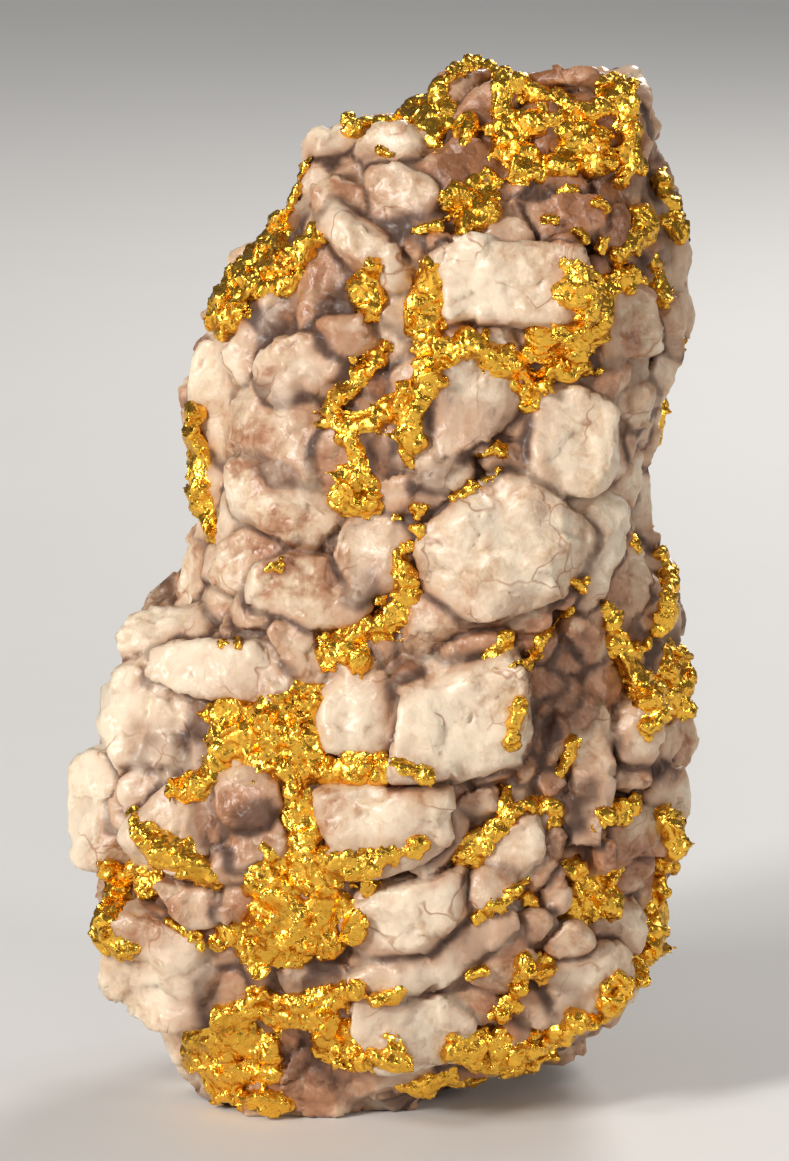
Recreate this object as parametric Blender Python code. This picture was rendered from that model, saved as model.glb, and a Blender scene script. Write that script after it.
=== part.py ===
"""Gold in quartz: an upright hand-size specimen of blocky white quartz with masses of native gold.

The quartz is one solid: a ground mass lofted through horizontal sections, with the quartz blocks
grown onto it. Each gold mass is a run of crumpled nuggets pressed into a pocket of the quartz.
It stands on a flat foot that lies on z = 0 round the origin. +Z is up and -Y is the front.

Every table below is in millimetres. Places on the face of the specimen are given on an elevation
drawing (u to the right, v up) whose plane leans back by LEAN, so that it shows the face and a little
of the top. The object is brought to metres as each piece is published.
"""
import math
import random

import bmesh
import bpy
import numpy as np
from mathutils import Matrix, Vector
from mathutils.bvhtree import BVHTree

# ---- driving dimensions ----
TO_METRES = 0.001
LEAN = math.radians(12.0)      # how far the elevation drawing leans back
DRAWING_BASE = 3.1             # v of the origin on the drawing
SECTION_POWER = 2.4            # roundness of the horizontal sections: 2 is an ellipse
INSET = 1.0                    # how far the ground mass lies inside the sections, above the foot
INSET_FROM = 3.0               # height where the inset starts
GAP = 0.5                      # pocket wall to gold
QUARTZ_GRAIN = 1.15            # finest form kept on the quartz
GOLD_GRAIN = 0.62              # finest form kept on the gold
QUARTZ_FACETS = 3600
POCKETED_FACETS = 6300         # facets of the quartz once its pockets are cut
FACETS_PER_SQUARE_MM = 1.0    # facets of a gold mass for each square millimetre of its drawing
LEAST_GAP = 0.2                # between a corner of the gold and the quartz
EASE = 0.12                    # one step of a gold facet away from quartz that it meets
EASING_ROUNDS = 14
SEED = 41

# Horizontal sections of the whole specimen: height, left, right, front, back.
SECTIONS = [
    (-1.5, -20.5, 6.5, -14.5, 15.0),
    (0.0, -20.5, 6.5, -14.5, 15.0),
    (2.5, -21.6, 11.8, -16.5, 18.0),
    (6.7, -22.5, 20.6, -19.0, 20.5),
    (11.0, -25.0, 24.0, -21.5, 22.5),
    (15.3, -29.4, 26.8, -22.5, 24.0),
    (19.6, -31.4, 27.8, -23.0, 25.0),
    (26.0, -31.0, 28.4, -23.5, 25.5),
    (30.4, -32.4, 27.8, -23.5, 25.5),
    (34.7, -31.0, 28.6, -23.0, 25.5),
    (41.1, -28.8, 29.0, -22.0, 25.0),
    (45.4, -26.4, 28.0, -21.0, 24.5),
    (49.7, -25.2, 27.4, -20.5, 24.0),
    (54.0, -19.8, 27.4, -19.5, 23.0),
    (58.3, -19.4, 26.0, -19.0, 22.5),
    (64.7, -18.2, 25.4, -18.5, 22.0),
    (71.2, -19.6, 27.0, -18.0, 21.5),
    (77.6, -18.6, 27.6, -17.5, 20.5),
    (84.0, -18.4, 28.4, -16.5, 19.0),
    (90.5, -12.8, 29.0, -15.0, 17.0),
    (94.8, -9.6, 27.8, -13.0, 15.0),
    (99.0, -6.8, 25.2, -10.5, 12.5),
    (103.4, 0.4, 25.0, -7.5, 8.5),
    (107.2, 5.2, 23.6, -3.6, 4.6),
]

# Quartz blocks on the face: u, v, width, height, tilt in degrees, stand-out.
TOP_BLOCKS = [
    (6.5, 106.6, 3.4, 3.0, 0, 1.6), (16.5, 106.4, 5.4, 2.6, -8, 1.0), (9.6, 104.2, 4.4, 3.0, 10, 0.8),
    (15.0, 101.4, 3.4, 2.4, 0, 0.8), (23.0, 101.8, 2.8, 4.4, 0, 0.8), (-5.0, 99.8, 7.0, 5.0, 24, 1.4),
    (0.6, 100.4, 5.0, 4.6, 10, 1.2), (6.0, 98.6, 6.0, 4.0, 15, 0.6), (-7.0, 95.6, 4.6, 4.0, 30, 1.2),
    (-3.8, 92.9, 5.4, 3.6, -12, 1.2), (-2.4, 89.6, 7.4, 3.6, -28, 2.2), (1.2, 95.6, 6.0, 5.0, 20, 1.0),
    (17.6, 94.0, 5.6, 4.6, 0, 0.4), (22.0, 92.4, 4.0, 4.6, 0, 0.4), (11.6, 93.0, 4.0, 3.4, 10, 0.8),
]
UPPER_BLOCKS = [
    (12.2, 86.0, 11.6, 7.6, 6, 3.4), (7.5, 90.0, 4.4, 2.8, 8, 1.4), (17.0, 90.2, 4.4, 2.8, 12, 1.2),
    (28.6, 88.0, 3.4, 8.4, 0, 1.4), (23.0, 82.4, 5.2, 5.0, 10, 1.8), (26.6, 83.0, 3.2, 5.2, 0, 1.2),
    (-15.5, 87.6, 5.0, 5.0, 20, 0.4), (-7.6, 86.0, 3.8, 8.0, -10, 0.8), (-5.6, 80.8, 5.6, 3.0, 6, 1.2),
    (-14.4, 79.0, 5.0, 4.4, -20, 1.0), (-17.6, 74.6, 6.0, 10.0, 4, 1.6), (-9.2, 77.6, 8.4, 4.2, 18, 1.6),
    (-11.6, 71.8, 6.4, 8.2, 12, 2.0), (-17.2, 67.0, 4.6, 5.4, 0, 1.3), (-17.8, 62.4, 4.0, 4.4, 0, 1.2),
    (-11.6, 64.2, 8.6, 6.2, -32, 2.2), (-6.6, 68.4, 3.2, 5.2, 0, 1.0), (-15.4, 62.0, 3.6, 5.6, -20, 1.2),
    (7.4, 75.0, 6.8, 8.0, 4, 2.2), (4.8, 70.0, 4.6, 4.8, 0, 1.6), (8.4, 70.2, 3.4, 2.8, -10, 1.6),
    (4.7, 66.8, 4.6, 2.4, 10, 1.6), (1.4, 64.8, 4.8, 2.8, 12, 1.4), (12.6, 71.2, 3.4, 3.4, 0, 1.2),
    (17.0, 70.6, 9.4, 8.8, 8, 3.0), (12.6, 67.4, 5.0, 3.6, 16, 1.6), (21.0, 76.4, 3.8, 3.2, 10, 1.4),
    (24.2, 74.4, 3.8, 3.0, -10, 1.4), (22.8, 71.0, 2.2, 3.4, 0, 1.2), (23.8, 67.4, 3.8, 4.4, 0, 1.4),
    (17.0, 65.2, 4.6, 2.4, 10, 0.8), (26.2, 78.4, 2.6, 6.4, -6, 1.2), (27.2, 71.8, 2.4, 7.4, 4, 1.2),
    (26.6, 64.0, 2.4, 6.4, 2, 1.2), (14.6, 79.8, 4.4, 3.0, 10, 0.6), (2.6, 75.2, 3.4, 4.4, 20, 0.8),
]
MIDDLE_BLOCKS = [
    (10.2, 59.0, 13.4, 9.6, 34, 3.4), (18.0, 60.6, 6.6, 9.6, -24, 2.2), (22.2, 57.6, 4.2, 4.8, 10, 1.6),
    (3.6, 62.0, 4.6, 3.4, 30, 1.0), (-2.4, 58.4, 5.2, 7.0, -12, 1.8), (-8.0, 54.4, 9.4, 5.2, 10, 2.0),
    (-14.4, 57.4, 4.8, 4.4, -24, 1.4), (-19.6, 57.2, 3.6, 5.6, 0, 1.2), (-12.4, 51.6, 4.6, 3.4, 0, 1.2),
    (-22.2, 50.6, 9.0, 4.4, 4, 2.2), (-16.6, 53.6, 3.4, 3.8, 0, 0.8), (6.0, 51.8, 8.4, 4.0, 8, 1.6),
    (7.6, 48.4, 5.6, 2.2, 8, 1.2), (15.4, 54.8, 4.4, 2.4, 20, 1.2), (12.6, 51.8, 4.2, 3.2, 20, 1.2),
    (13.6, 48.8, 3.2, 2.8, 0, 1.0), (18.6, 51.0, 3.2, 4.4, 14, 1.2), (20.4, 48.4, 4.6, 4.4, 20, 1.0),
    (20.0, 45.0, 3.4, 3.4, 0, 1.2), (16.8, 47.4, 2.2, 3.8, -14, 1.0), (24.4, 54.8, 3.0, 4.4, 0, 1.2),
    (25.6, 60.6, 2.6, 4.0, 0, 1.2), (-17.6, 46.4, 13.4, 4.2, -5, 1.8), (-24.6, 42.7, 10.4, 8.4, 0, 3.2),
    (-9.6, 48.0, 4.6, 3.6, -30, 0.8), (-24.0, 37.0, 6.6, 6.2, -20, 2.4), (-27.8, 36.4, 3.4, 6.6, 10, 1.2),
    (5.6, 41.8, 11.4, 10.2, 4, 3.8), (-3.2, 42.6, 5.2, 8.2, -28, 1.8), (0.6, 46.2, 3.0, 3.0, 0, 1.2),
]
RIGHT_BLOCKS = [
    (11.2, 46.0, 2.8, 2.2, -30, 1.2), (14.4, 44.6, 2.8, 2.4, 10, 1.0), (16.2, 42.9, 2.4, 3.8, -8, 1.2),
    (18.1, 42.0, 2.3, 4.2, -22, 1.4), (11.3, 41.8, 2.2, 2.6, 20, 1.4), (14.7, 40.0, 2.0, 5.0, 12, 1.2),
    (15.9, 38.8, 1.8, 3.8, 0, 1.5), (13.5, 36.4, 1.9, 2.1, 0, 1.2), (16.0, 35.4, 2.0, 3.0, 0, 1.0),
    (22.8, 44.2, 2.6, 5.2, -22, 1.2), (19.6, 36.0, 2.9, 12.4, -5, 1.6), (23.2, 39.6, 3.6, 6.8, 4, 2.4),
    (28.6, 38.8, 4.2, 5.0, 20, 1.6), (26.4, 38.4, 3.2, 3.6, 0, 1.2), (22.7, 35.2, 4.4, 2.6, 0, 1.8),
    (26.6, 34.6, 4.6, 3.6, -32, 2.4), (8.4, 33.6, 4.4, 3.2, 24, 0.8), (12.8, 32.2, 3.2, 2.0, 10, 1.0),
    (15.1, 31.2, 2.2, 2.2, 0, 0.8), (12.4, 28.0, 4.6, 5.0, 20, 2.2), (15.6, 27.4, 2.4, 5.0, -24, 1.6),
    (16.7, 24.4, 2.2, 3.4, -14, 1.2), (18.6, 32.0, 2.4, 4.2, 0, 1.2), (20.6, 28.3, 1.8, 3.8, 0, 1.8),
    (24.0, 29.2, 5.6, 4.8, 8, 1.8), (26.2, 31.4, 2.8, 3.4, 0, 1.6), (24.7, 25.6, 3.0, 3.8, -8, 1.4),
    (26.0, 22.8, 2.6, 4.0, 14, 1.0), (4.8, 29.6, 4.6, 6.0, -34, 1.0), (9.6, 37.2, 4.4, 2.4, 10, 0.8),
]
LOWER_BLOCKS = [
    (-30.5, 33.0, 6.6, 8.6, 8, 2.2), (-23.0, 31.5, 7.2, 5.6, -14, 2.2), (-19.2, 32.2, 3.6, 3.2, 0, 1.6),
    (-15.4, 33.4, 4.8, 4.6, 0, 2.0), (-16.0, 29.6, 5.0, 4.2, 12, 1.8), (-17.6, 26.9, 3.6, 2.8, -12, 1.4),
    (-1.0, 31.8, 10.6, 7.0, 10, 2.6), (-20.6, 23.6, 6.4, 3.4, -36, 1.2), (-16.8, 23.6, 4.0, 4.0, 0, 1.0),
    (-25.2, 20.6, 5.0, 4.4, 0, 1.4), (-31.8, 24.2, 2.4, 3.6, 0, 0.8), (-22.8, 15.5, 11.6, 8.4, -24, 2.6),
    (-19.4, 13.4, 5.0, 4.8, -10, 1.6), (-23.6, 10.8, 4.6, 2.4, -24, 0.8), (2.6, 22.0, 10.6, 6.2, 20, 2.6),
    (5.0, 17.4, 15.0, 3.6, 28, 2.0), (-1.4, 17.0, 3.4, 3.2, 0, 1.0), (10.5, 18.2, 5.0, 5.4, 20, 1.8),
    (13.6, 20.8, 2.6, 4.4, -34, 1.4), (10.6, 24.6, 3.4, 3.6, 0, 2.0), (17.2, 19.2, 3.6, 3.0, 0, 1.8),
    (18.8, 14.2, 7.4, 6.6, 12, 2.8), (14.8, 12.8, 4.2, 3.4, -10, 1.4), (22.6, 18.6, 4.8, 5.0, -30, 2.0),
    (25.0, 16.8, 2.6, 3.6, -20, 1.0), (2.6, 9.7, 8.8, 6.4, -4, 2.8), (7.8, 12.6, 4.8, 3.6, 12, 1.4),
    (12.2, 9.8, 2.6, 3.2, 0, 1.2), (-1.4, 10.6, 3.0, 3.6, 20, 1.0), (-9.2, 2.8, 8.4, 3.6, 4, 1.2),
    (-0.6, 4.0, 8.4, 2.8, 6, 1.2), (9.2, 4.6, 6.0, 2.2, 14, 1.0), (17.4, 7.4, 4.8, 2.4, 26, 1.2),
    (22.6, 12.4, 2.6, 3.2, -20, 0.6), (1.2, 14.9, 5.0, 2.2, 16, 0.8), (-12.2, 11.2, 3.0, 1.8, 0, 0.4),
]
FACE_BLOCKS = TOP_BLOCKS + UPPER_BLOCKS + MIDDLE_BLOCKS + RIGHT_BLOCKS + LOWER_BLOCKS

# Gold masses: each is a list of strokes, and each stroke a run of (u, v, half-width), with the depth
# from the middle plane as a fourth number where the gold stands off the edge of the quartz.
GOLD = {
    "gold_wing": [
        [(-9.0, 98.4, 0.6, -2), (-10.0, 96.2, 0.6, -2), (-10.4, 94.4, 0.8, -3), (-11.8, 92.2, 1.2, -4),
         (-14.1, 90.2, 1.5, -4), (-16.0, 88.0, 1.6, -5), (-17.6, 85.4, 1.6, -6), (-18.2, 83.1, 1.4, -6),
         (-18.2, 81.8, 0.8, -6)],
        [(-11.8, 92.0, 1.3, -5), (-12.0, 88.8, 1.9, -9), (-11.8, 86.8, 1.5, -10.5)],
        [(-15.0, 88.6, 1.8, -5), (-15.2, 86.0, 2.1, -7.4), (-16.8, 83.6, 1.6, -8)],
        [(-14.0, 89.8, 1.6, -5), (-12.8, 87.4, 1.8, -9), (-14.4, 85.8, 1.6, -8)],
        [(-10.8, 87.6, 1.1), (-9.2, 88.4, 1.2), (-8.6, 90.4, 1.1), (-7.4, 91.4, 0.9)],
    ],
    "gold_crown": [
        [(-4.4, 102.4, 0.7, -1), (-2.2, 103.2, 0.9, -1), (0.0, 103.6, 1.1, -1), (2.2, 104.6, 1.4, -2),
         (4.3, 105.6, 1.2, -2), (5.6, 107.0, 1.0, -1), (6.9, 108.4, 1.0, -1), (8.6, 108.9, 1.1, -1),
         (10.2, 108.4, 1.1, -1), (11.2, 107.2, 1.1, -3)],
        [(1.6, 103.4, 1.1, -4), (3.4, 103.2, 1.6, -4), (4.2, 101.2, 1.4, -7)],
        [(5.0, 104.2, 1.3, -3), (6.6, 103.2, 1.5, -5), (7.4, 101.4, 1.4, -8)],
        [(11.2, 107.0, 1.1, -3), (13.6, 105.7, 1.1, -4), (16.2, 105.1, 1.1, -5), (18.2, 104.2, 1.4, -6),
         (20.2, 103.8, 1.6, -6), (22.0, 104.8, 1.9, -4), (22.7, 106.6, 2.1, -2)],
        [(23.4, 104.2, 1.8, -4), (24.4, 102.4, 1.7, -5), (24.6, 100.6, 1.5, -6)],
        [(24.2, 100.8, 1.7), (24.0, 98.8, 1.7), (23.4, 97.0, 1.3)],
        [(11.0, 106.0, 1.0, -4), (10.8, 103.6, 1.1, -6)],
        [(10.8, 103.4, 1.1), (10.6, 101.6, 1.3), (10.6, 99.8, 1.2), (11.0, 98.0, 1.3), (13.6, 97.6, 1.3),
         (16.4, 98.4, 1.2), (19.0, 98.6, 1.0), (22.6, 98.6, 1.1)],
        [(10.8, 102.2, 1.1), (13.4, 102.6, 1.1), (16.6, 102.6, 1.1), (18.9, 102.4, 1.6), (20.4, 101.2, 1.4)],
        [(19.4, 101.4, 1.4), (19.6, 99.6, 0.9)],
        [(12.0, 99.8, 1.0), (14.0, 99.4, 0.8)],
        [(10.4, 97.4, 1.2), (9.2, 96.2, 1.4), (8.0, 95.0, 1.8), (7.4, 93.4, 1.6), (9.2, 93.2, 1.2)],
        [(6.8, 92.4, 1.0), (5.2, 91.4, 0.9), (2.6, 91.1, 0.8)],
    ],
    "gold_upper_left": [
        [(-2.2, 87.6, 1.3), (-2.8, 86.4, 1.7), (-2.8, 84.6, 1.6), (-2.7, 82.9, 1.2)],
    ],
    "gold_top_right": [
        [(28.2, 96.8, 1.2, -3), (28.8, 95.2, 1.7, -3), (29.2, 93.4, 1.8, -3), (29.6, 92.0, 1.2, -3)],
    ],
    "gold_right_strip": [
        [(25.2, 93.6, 1.1), (25.2, 91.8, 1.4), (24.0, 90.4, 1.1), (22.8, 89.4, 0.8)],
        [(25.4, 91.4, 1.1), (26.6, 89.6, 0.9), (27.2, 87.4, 0.8), (27.3, 84.8, 0.8)],
    ],
    "gold_upper_web": [
        [(4.2, 87.6, 1.3), (3.9, 86.0, 2.0), (3.8, 83.8, 2.1), (3.7, 81.8, 1.8), (3.6, 80.0, 1.5),
         (3.6, 78.4, 1.3), (3.3, 76.6, 1.3), (2.2, 75.0, 1.4), (0.4, 73.2, 1.9), (-2.4, 72.8, 2.0),
         (-4.8, 72.4, 1.7), (-6.8, 72.0, 1.1), (-8.2, 71.0, 0.8)],
        [(4.2, 79.4, 1.4), (6.2, 79.6, 1.3), (7.8, 79.8, 1.2), (9.6, 78.6, 1.3), (11.4, 77.6, 1.5),
         (13.2, 76.9, 1.7), (15.4, 77.0, 1.8), (17.6, 77.2, 1.5), (19.4, 77.6, 1.1)],
        [(15.4, 78.4, 1.6), (14.9, 80.2, 1.6), (15.6, 81.6, 1.3)],
        [(17.8, 78.6, 1.7), (18.4, 81.4, 2.1), (18.4, 84.2, 2.1), (18.8, 86.2, 1.4)],
        [(20.2, 80.4, 1.6), (20.9, 83.2, 1.7), (20.6, 85.6, 1.6), (22.4, 86.8, 1.1), (24.4, 86.6, 0.9)],
        [(13.8, 75.4, 1.2), (13.8, 73.6, 0.8)],
        [(-1.6, 78.6, 1.3), (-3.0, 77.2, 1.4), (-4.2, 75.8, 1.2), (-5.2, 74.4, 1.1), (-5.8, 72.8, 1.2)],
        [(0.8, 72.6, 1.6), (1.8, 71.0, 1.5), (1.8, 69.6, 1.2), (1.7, 68.2, 0.9)],
        [(-4.8, 71.0, 1.2), (-4.2, 69.0, 1.0), (-3.4, 67.4, 1.7), (-4.4, 65.6, 2.0), (-4.6, 63.8, 1.8),
         (-3.0, 63.2, 1.4), (-1.4, 63.6, 1.1)],
        [(-2.8, 66.8, 1.6), (-2.0, 65.2, 1.3)],
    ],
    "gold_vein": [
        [(0.9, 59.2, 0.8), (1.0, 57.6, 1.0), (1.4, 56.0, 1.3), (1.5, 54.4, 1.4), (0.6, 52.6, 1.6),
         (-1.2, 51.2, 1.8), (-3.4, 49.8, 1.9), (-5.2, 48.8, 2.1), (-6.0, 47.4, 1.6)],
        [(-4.2, 48.4, 1.7), (-4.0, 46.8, 1.3)],
    ],
    "gold_small_right": [
        [(28.0, 58.4, 1.0, -4), (28.1, 56.4, 1.1, -4), (28.0, 54.6, 1.0, -5), (27.9, 53.0, 1.1, -5),
         (27.6, 51.2, 1.1, -5)],
    ],
    "gold_knob_right": [
        [(26.6, 46.8, 1.8, -10), (28.4, 47.2, 2.3, -7), (30.2, 47.2, 2.7, -5), (30.4, 46.0, 2.4, -5)],
        [(21.8, 52.6, 1.2), (22.8, 50.8, 1.5), (23.8, 48.8, 1.8), (23.6, 46.8, 1.5), (24.6, 45.6, 1.3)],
        [(24.6, 45.4, 1.4, -13), (26.4, 44.2, 1.8, -10), (28.2, 43.6, 2.0, -7), (30.0, 43.2, 1.7, -5)],
        [(26.8, 43.2, 1.5, -10), (26.6, 41.2, 1.4, -9)],
    ],
    "gold_lower_mass": [
        [(-17.2, 42.8, 2.2), (-14.6, 42.4, 2.4), (-11.6, 42.6, 2.5), (-8.8, 43.0, 2.5)],
        [(-17.2, 39.8, 2.0), (-14.2, 39.4, 2.3), (-11.2, 39.6, 2.5), (-8.6, 39.2, 2.1)],
        [(-18.0, 37.8, 1.8), (-18.4, 36.0, 1.7), (-20.2, 34.5, 1.6), (-22.4, 33.8, 1.1)],
        [(-12.6, 37.4, 2.2), (-10.8, 35.4, 2.6), (-10.0, 33.0, 2.7), (-9.4, 30.6, 2.5), (-9.0, 28.8, 2.0)],
        [(-8.0, 36.4, 1.6), (-5.4, 36.4, 1.6), (-2.6, 36.9, 1.5), (0.6, 36.4, 1.0), (3.2, 36.3, 0.8)],
        [(-13.2, 27.4, 1.9), (-13.6, 25.0, 2.2), (-12.8, 22.4, 2.3), (-12.6, 20.0, 2.5)],
        [(-10.6, 27.4, 2.0), (-10.8, 24.6, 2.1), (-10.2, 21.8, 2.3), (-9.6, 19.2, 2.3)],
        [(-8.2, 27.0, 1.9), (-7.4, 24.2, 1.8), (-7.4, 21.2, 2.1), (-7.2, 19.0, 1.9)],
        [(-17.4, 19.6, 2.1), (-15.6, 18.8, 2.3), (-12.8, 18.2, 2.3), (-9.8, 17.8, 2.0)],
        [(-5.4, 23.2, 1.8), (-4.2, 21.6, 1.8), (-4.4, 19.8, 1.5)],
        [(-6.8, 27.4, 1.2), (-4.4, 26.8, 1.1), (-1.8, 27.0, 1.1), (0.6, 27.8, 1.0), (3.0, 29.0, 0.8)],
        [(-4.6, 24.4, 1.2), (-2.2, 24.7, 0.9)],
    ],
    "gold_left_strip": [
        [(-26.4, 30.0, 0.8), (-25.2, 28.4, 1.3), (-23.0, 27.8, 1.6), (-21.0, 27.0, 1.7),
         (-19.4, 25.6, 1.5)],
    ],
    "gold_left_edge": [
        [(-30.8, 27.0, 0.9, -7), (-29.4, 25.8, 1.3, -10.5), (-27.2, 24.9, 1.4, -14.5), (-25.2, 24.0, 1.1, -17)],
        [(-28.4, 25.0, 1.4, -12), (-28.8, 24.0, 1.7, -11), (-29.2, 22.8, 2.1, -10), (-29.2, 21.2, 2.4, -10),
         (-29.4, 19.4, 2.2, -8), (-28.4, 18.2, 1.6, -9)],
    ],
    "gold_base_left": [
        [(-20.2, 8.8, 2.2), (-17.6, 8.8, 2.5), (-15.0, 8.4, 2.4), (-13.2, 7.4, 1.8)],
        [(-20.2, 5.6, 2.0), (-17.6, 5.0, 2.3), (-14.8, 4.6, 2.2), (-12.8, 4.4, 1.5)],
        [(-19.2, 3.4, 1.3), (-17.0, 2.3, 1.4), (-14.2, 1.7, 1.2), (-11.6, 1.5, 0.9)],
        [(-17.2, 10.6, 1.6), (-15.6, 11.8, 1.4), (-13.4, 12.5, 1.3), (-10.6, 12.8, 1.0), (-7.8, 12.6, 1.3),
         (-5.6, 12.9, 1.4), (-3.6, 13.9, 0.9)],
        [(-12.2, 10.6, 1.3), (-10.0, 10.2, 1.3), (-7.6, 11.2, 1.6), (-5.6, 10.4, 1.9), (-5.2, 8.2, 2.0),
         (-3.4, 7.2, 1.7), (-1.0, 6.8, 1.2), (1.4, 6.0, 0.8)],
        [(-7.4, 8.8, 1.6), (-7.0, 7.2, 1.2)],
    ],
    "gold_base_front": [
        [(0.8, 2.9, 1.0), (3.0, 3.3, 1.3), (5.0, 4.3, 1.1), (7.2, 3.7, 0.8), (9.6, 4.0, 0.7)],
    ],
    "gold_base_right": [
        [(6.8, 7.6, 1.6), (9.2, 7.4, 1.8), (11.8, 7.2, 1.9), (14.4, 8.4, 1.9), (17.0, 9.4, 1.5),
         (19.2, 10.4, 1.0)],
        [(11.6, 5.4, 1.0), (14.2, 6.2, 1.2), (16.8, 7.2, 1.1)],
    ],
    "gold_hook": [
        [(15.2, 15.8, 1.5), (13.8, 16.4, 1.4), (13.2, 14.8, 0.9), (12.2, 13.4, 0.9), (11.2, 12.2, 1.3),
         (9.8, 10.8, 0.9)],
    ],
    "gold_square_patch": [
        [(18.6, 26.4, 1.0), (18.4, 24.4, 1.4), (18.2, 22.2, 1.6)],
        [(20.4, 25.2, 1.6), (22.2, 25.4, 1.4)],
        [(20.4, 22.6, 2.2), (22.2, 22.6, 1.6)],
        [(18.8, 21.2, 1.4), (21.0, 20.9, 1.4)],
    ],
    "gold_patch_right": [
        [(21.2, 31.4, 1.4), (22.6, 31.9, 1.6), (24.4, 32.5, 1.3)],
    ],
    "gold_net": [
        [(6.8, 27.6, 1.4), (8.2, 28.3, 1.6), (9.6, 29.4, 1.1), (11.0, 30.6, 0.8)],
    ],
    "gold_right_rim": [
        [(28.0, 31.8, 0.9, -8), (28.8, 29.4, 1.3, -7), (28.5, 27.0, 1.4, -7), (27.6, 24.2, 1.5, -8),
         (27.6, 21.4, 1.6, -8), (26.7, 19.2, 1.6, -8), (26.0, 17.0, 1.2, -7), (24.6, 14.4, 1.1, -6)],
        [(24.6, 14.4, 1.1), (23.2, 12.2, 1.0), (21.4, 10.4, 0.9)],
    ],
}
# Gold masses on the other sides, drawn as seen when the specimen is turned by the given degrees.
TURNED_GOLD = {
    "gold_back_upper": (180.0, [
        [(-6.0, 86.0, 1.8), (-8.4, 82.0, 2.6), (-7.0, 78.0, 2.4), (-3.2, 75.0, 2.2), (0.6, 73.0, 1.6)],
        [(-8.4, 82.0, 1.8), (-12.0, 81.0, 1.4)],
    ]),
    "gold_back_middle": (180.0, [
        [(12.6, 60.0, 1.2), (9.0, 58.0, 1.8), (6.4, 55.0, 2.0), (6.0, 51.6, 1.6), (8.4, 49.2, 1.2)],
    ]),
    "gold_back_lower": (180.0, [
        [(-20.0, 38.0, 1.6), (-16.0, 36.0, 2.4), (-12.0, 34.0, 2.8), (-8.0, 31.0, 2.4), (-4.6, 27.0, 1.8)],
        [(-12.0, 34.0, 1.8), (-12.6, 28.6, 2.0), (-15.0, 24.6, 1.6)],
    ]),
    "gold_side_left": (-90.0, [
        [(6.0, 70.0, 1.2), (3.6, 66.6, 1.8), (4.4, 62.6, 1.8), (8.0, 59.0, 1.4)],
    ]),
    "gold_side_right": (90.0, [
        [(-2.0, 76.0, 1.3), (2.0, 73.0, 2.0), (4.6, 69.0, 1.8), (3.6, 64.6, 1.3)],
    ]),
}

# Plain blocks that clothe the rest of the ground mass.
FILL_HEIGHTS = (5.0, 103.0)    # lowest and highest row
FILL_ROW = 7.4                 # height between rows
FILL_STEP = 8.0                # distance along a row
FILL_WIDTH = (5.5, 10.5)
FILL_HEIGHT = (4.5, 8.5)
FILL_TILT = (-16.0, 34.0)
FILL_STAND_OUT = (-0.4, 1.4)
SEEN = 0.12                    # forward part of the outward way that makes the face
FACE_SHRINK = 0.58             # blocks between the drawn ones are this much smaller
CLEAR_OF_GOLD = 1.6            # from the edge of drawn gold to the middle of such a block
BACK_GROWTH = 1.45             # blocks behind are this much larger
BACK_STAND_OUT = (0.0, 3.2)
SIDE_STAND_OUT = (-0.6, 0.8)   # on the flanks, which the drawing shows edge on
BACKWARD = 0.3                 # backward part of the outward way that makes the back
FLANK = 0.55                   # sideways part of the outward way that makes a flank
DEPTH_SHARE, DEPTH_ADDED = 0.7, 3.0   # a block's depth: a share of its smaller side, and more
BLOCK_SWELL = 1.14             # a block's size over its drawn size, before it is chipped
CHIPS = 13                     # planes that chip a block's edges and corners

GOLD_LOWEST = 0.35             # the gold stays this far above the floor
EVENING = 3                    # passes that even out the depth of a gold stroke
NUGGET_SPREAD = (1.06, 1.34)   # a nugget's half-width over its stroke's
NUGGET_ASPECT = (0.85, 1.1)
NUGGET_THICKNESS = 0.58        # a nugget's half-thickness over its half-width, on top of its core
NUGGET_CORE = 0.6
NUGGET_STRAY = 0.2             # sideways, over its half-width
NUGGET_LIFT = 0.15             # outward, over its half-width
NUGGET_BOB = (-0.15, 0.3)

QUARTZ_COLOUR = (0.80, 0.71, 0.60, 1.0)
GOLD_COLOUR = (0.93, 0.62, 0.16, 1.0)


# ---- the elevation drawing and the ground mass ----

def section(z):
    """Left, right, front and back of the ground mass at height z."""
    heights = [row[0] for row in SECTIONS]
    return [float(np.interp(z, heights, [row[i] for row in SECTIONS])) for i in range(1, 5)]


def drawn(point):
    """A point's place (u, v) on the elevation drawing."""
    return point.x, point.z * math.cos(LEAN) + point.y * math.sin(LEAN) + DRAWING_BASE


def on_face(u, v):
    """The point of the ground mass's front under (u, v) on the drawing."""
    y = 0.0
    for _ in range(12):
        z = (v - DRAWING_BASE - y * math.sin(LEAN)) / math.cos(LEAN)
        left, right, front, back = section(z)
        reach = min(abs(u - (left + right) / 2) / ((right - left) / 2), 0.985)
        depth = (1 - reach ** SECTION_POWER) ** (1 / SECTION_POWER)
        y = (front + back) / 2 - (back - front) / 2 * depth
    return Vector((u, y, z))


def fullness(point):
    """Below 1 inside the ground mass, 1 on its skin."""
    left, right, front, back = section(point.z)
    across = abs(point.x - (left + right) / 2) / ((right - left) / 2)
    through = abs(point.y - (front + back) / 2) / ((back - front) / 2)
    return across ** SECTION_POWER + through ** SECTION_POWER


def outward(point):
    """Unit normal of the ground mass's skin near a point."""
    step = 0.4
    slope = [fullness(point + axis * step) - fullness(point - axis * step)
             for axis in (Vector((1, 0, 0)), Vector((0, 1, 0)), Vector((0, 0, 1)))]
    return Vector(slope).normalized()


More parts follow.
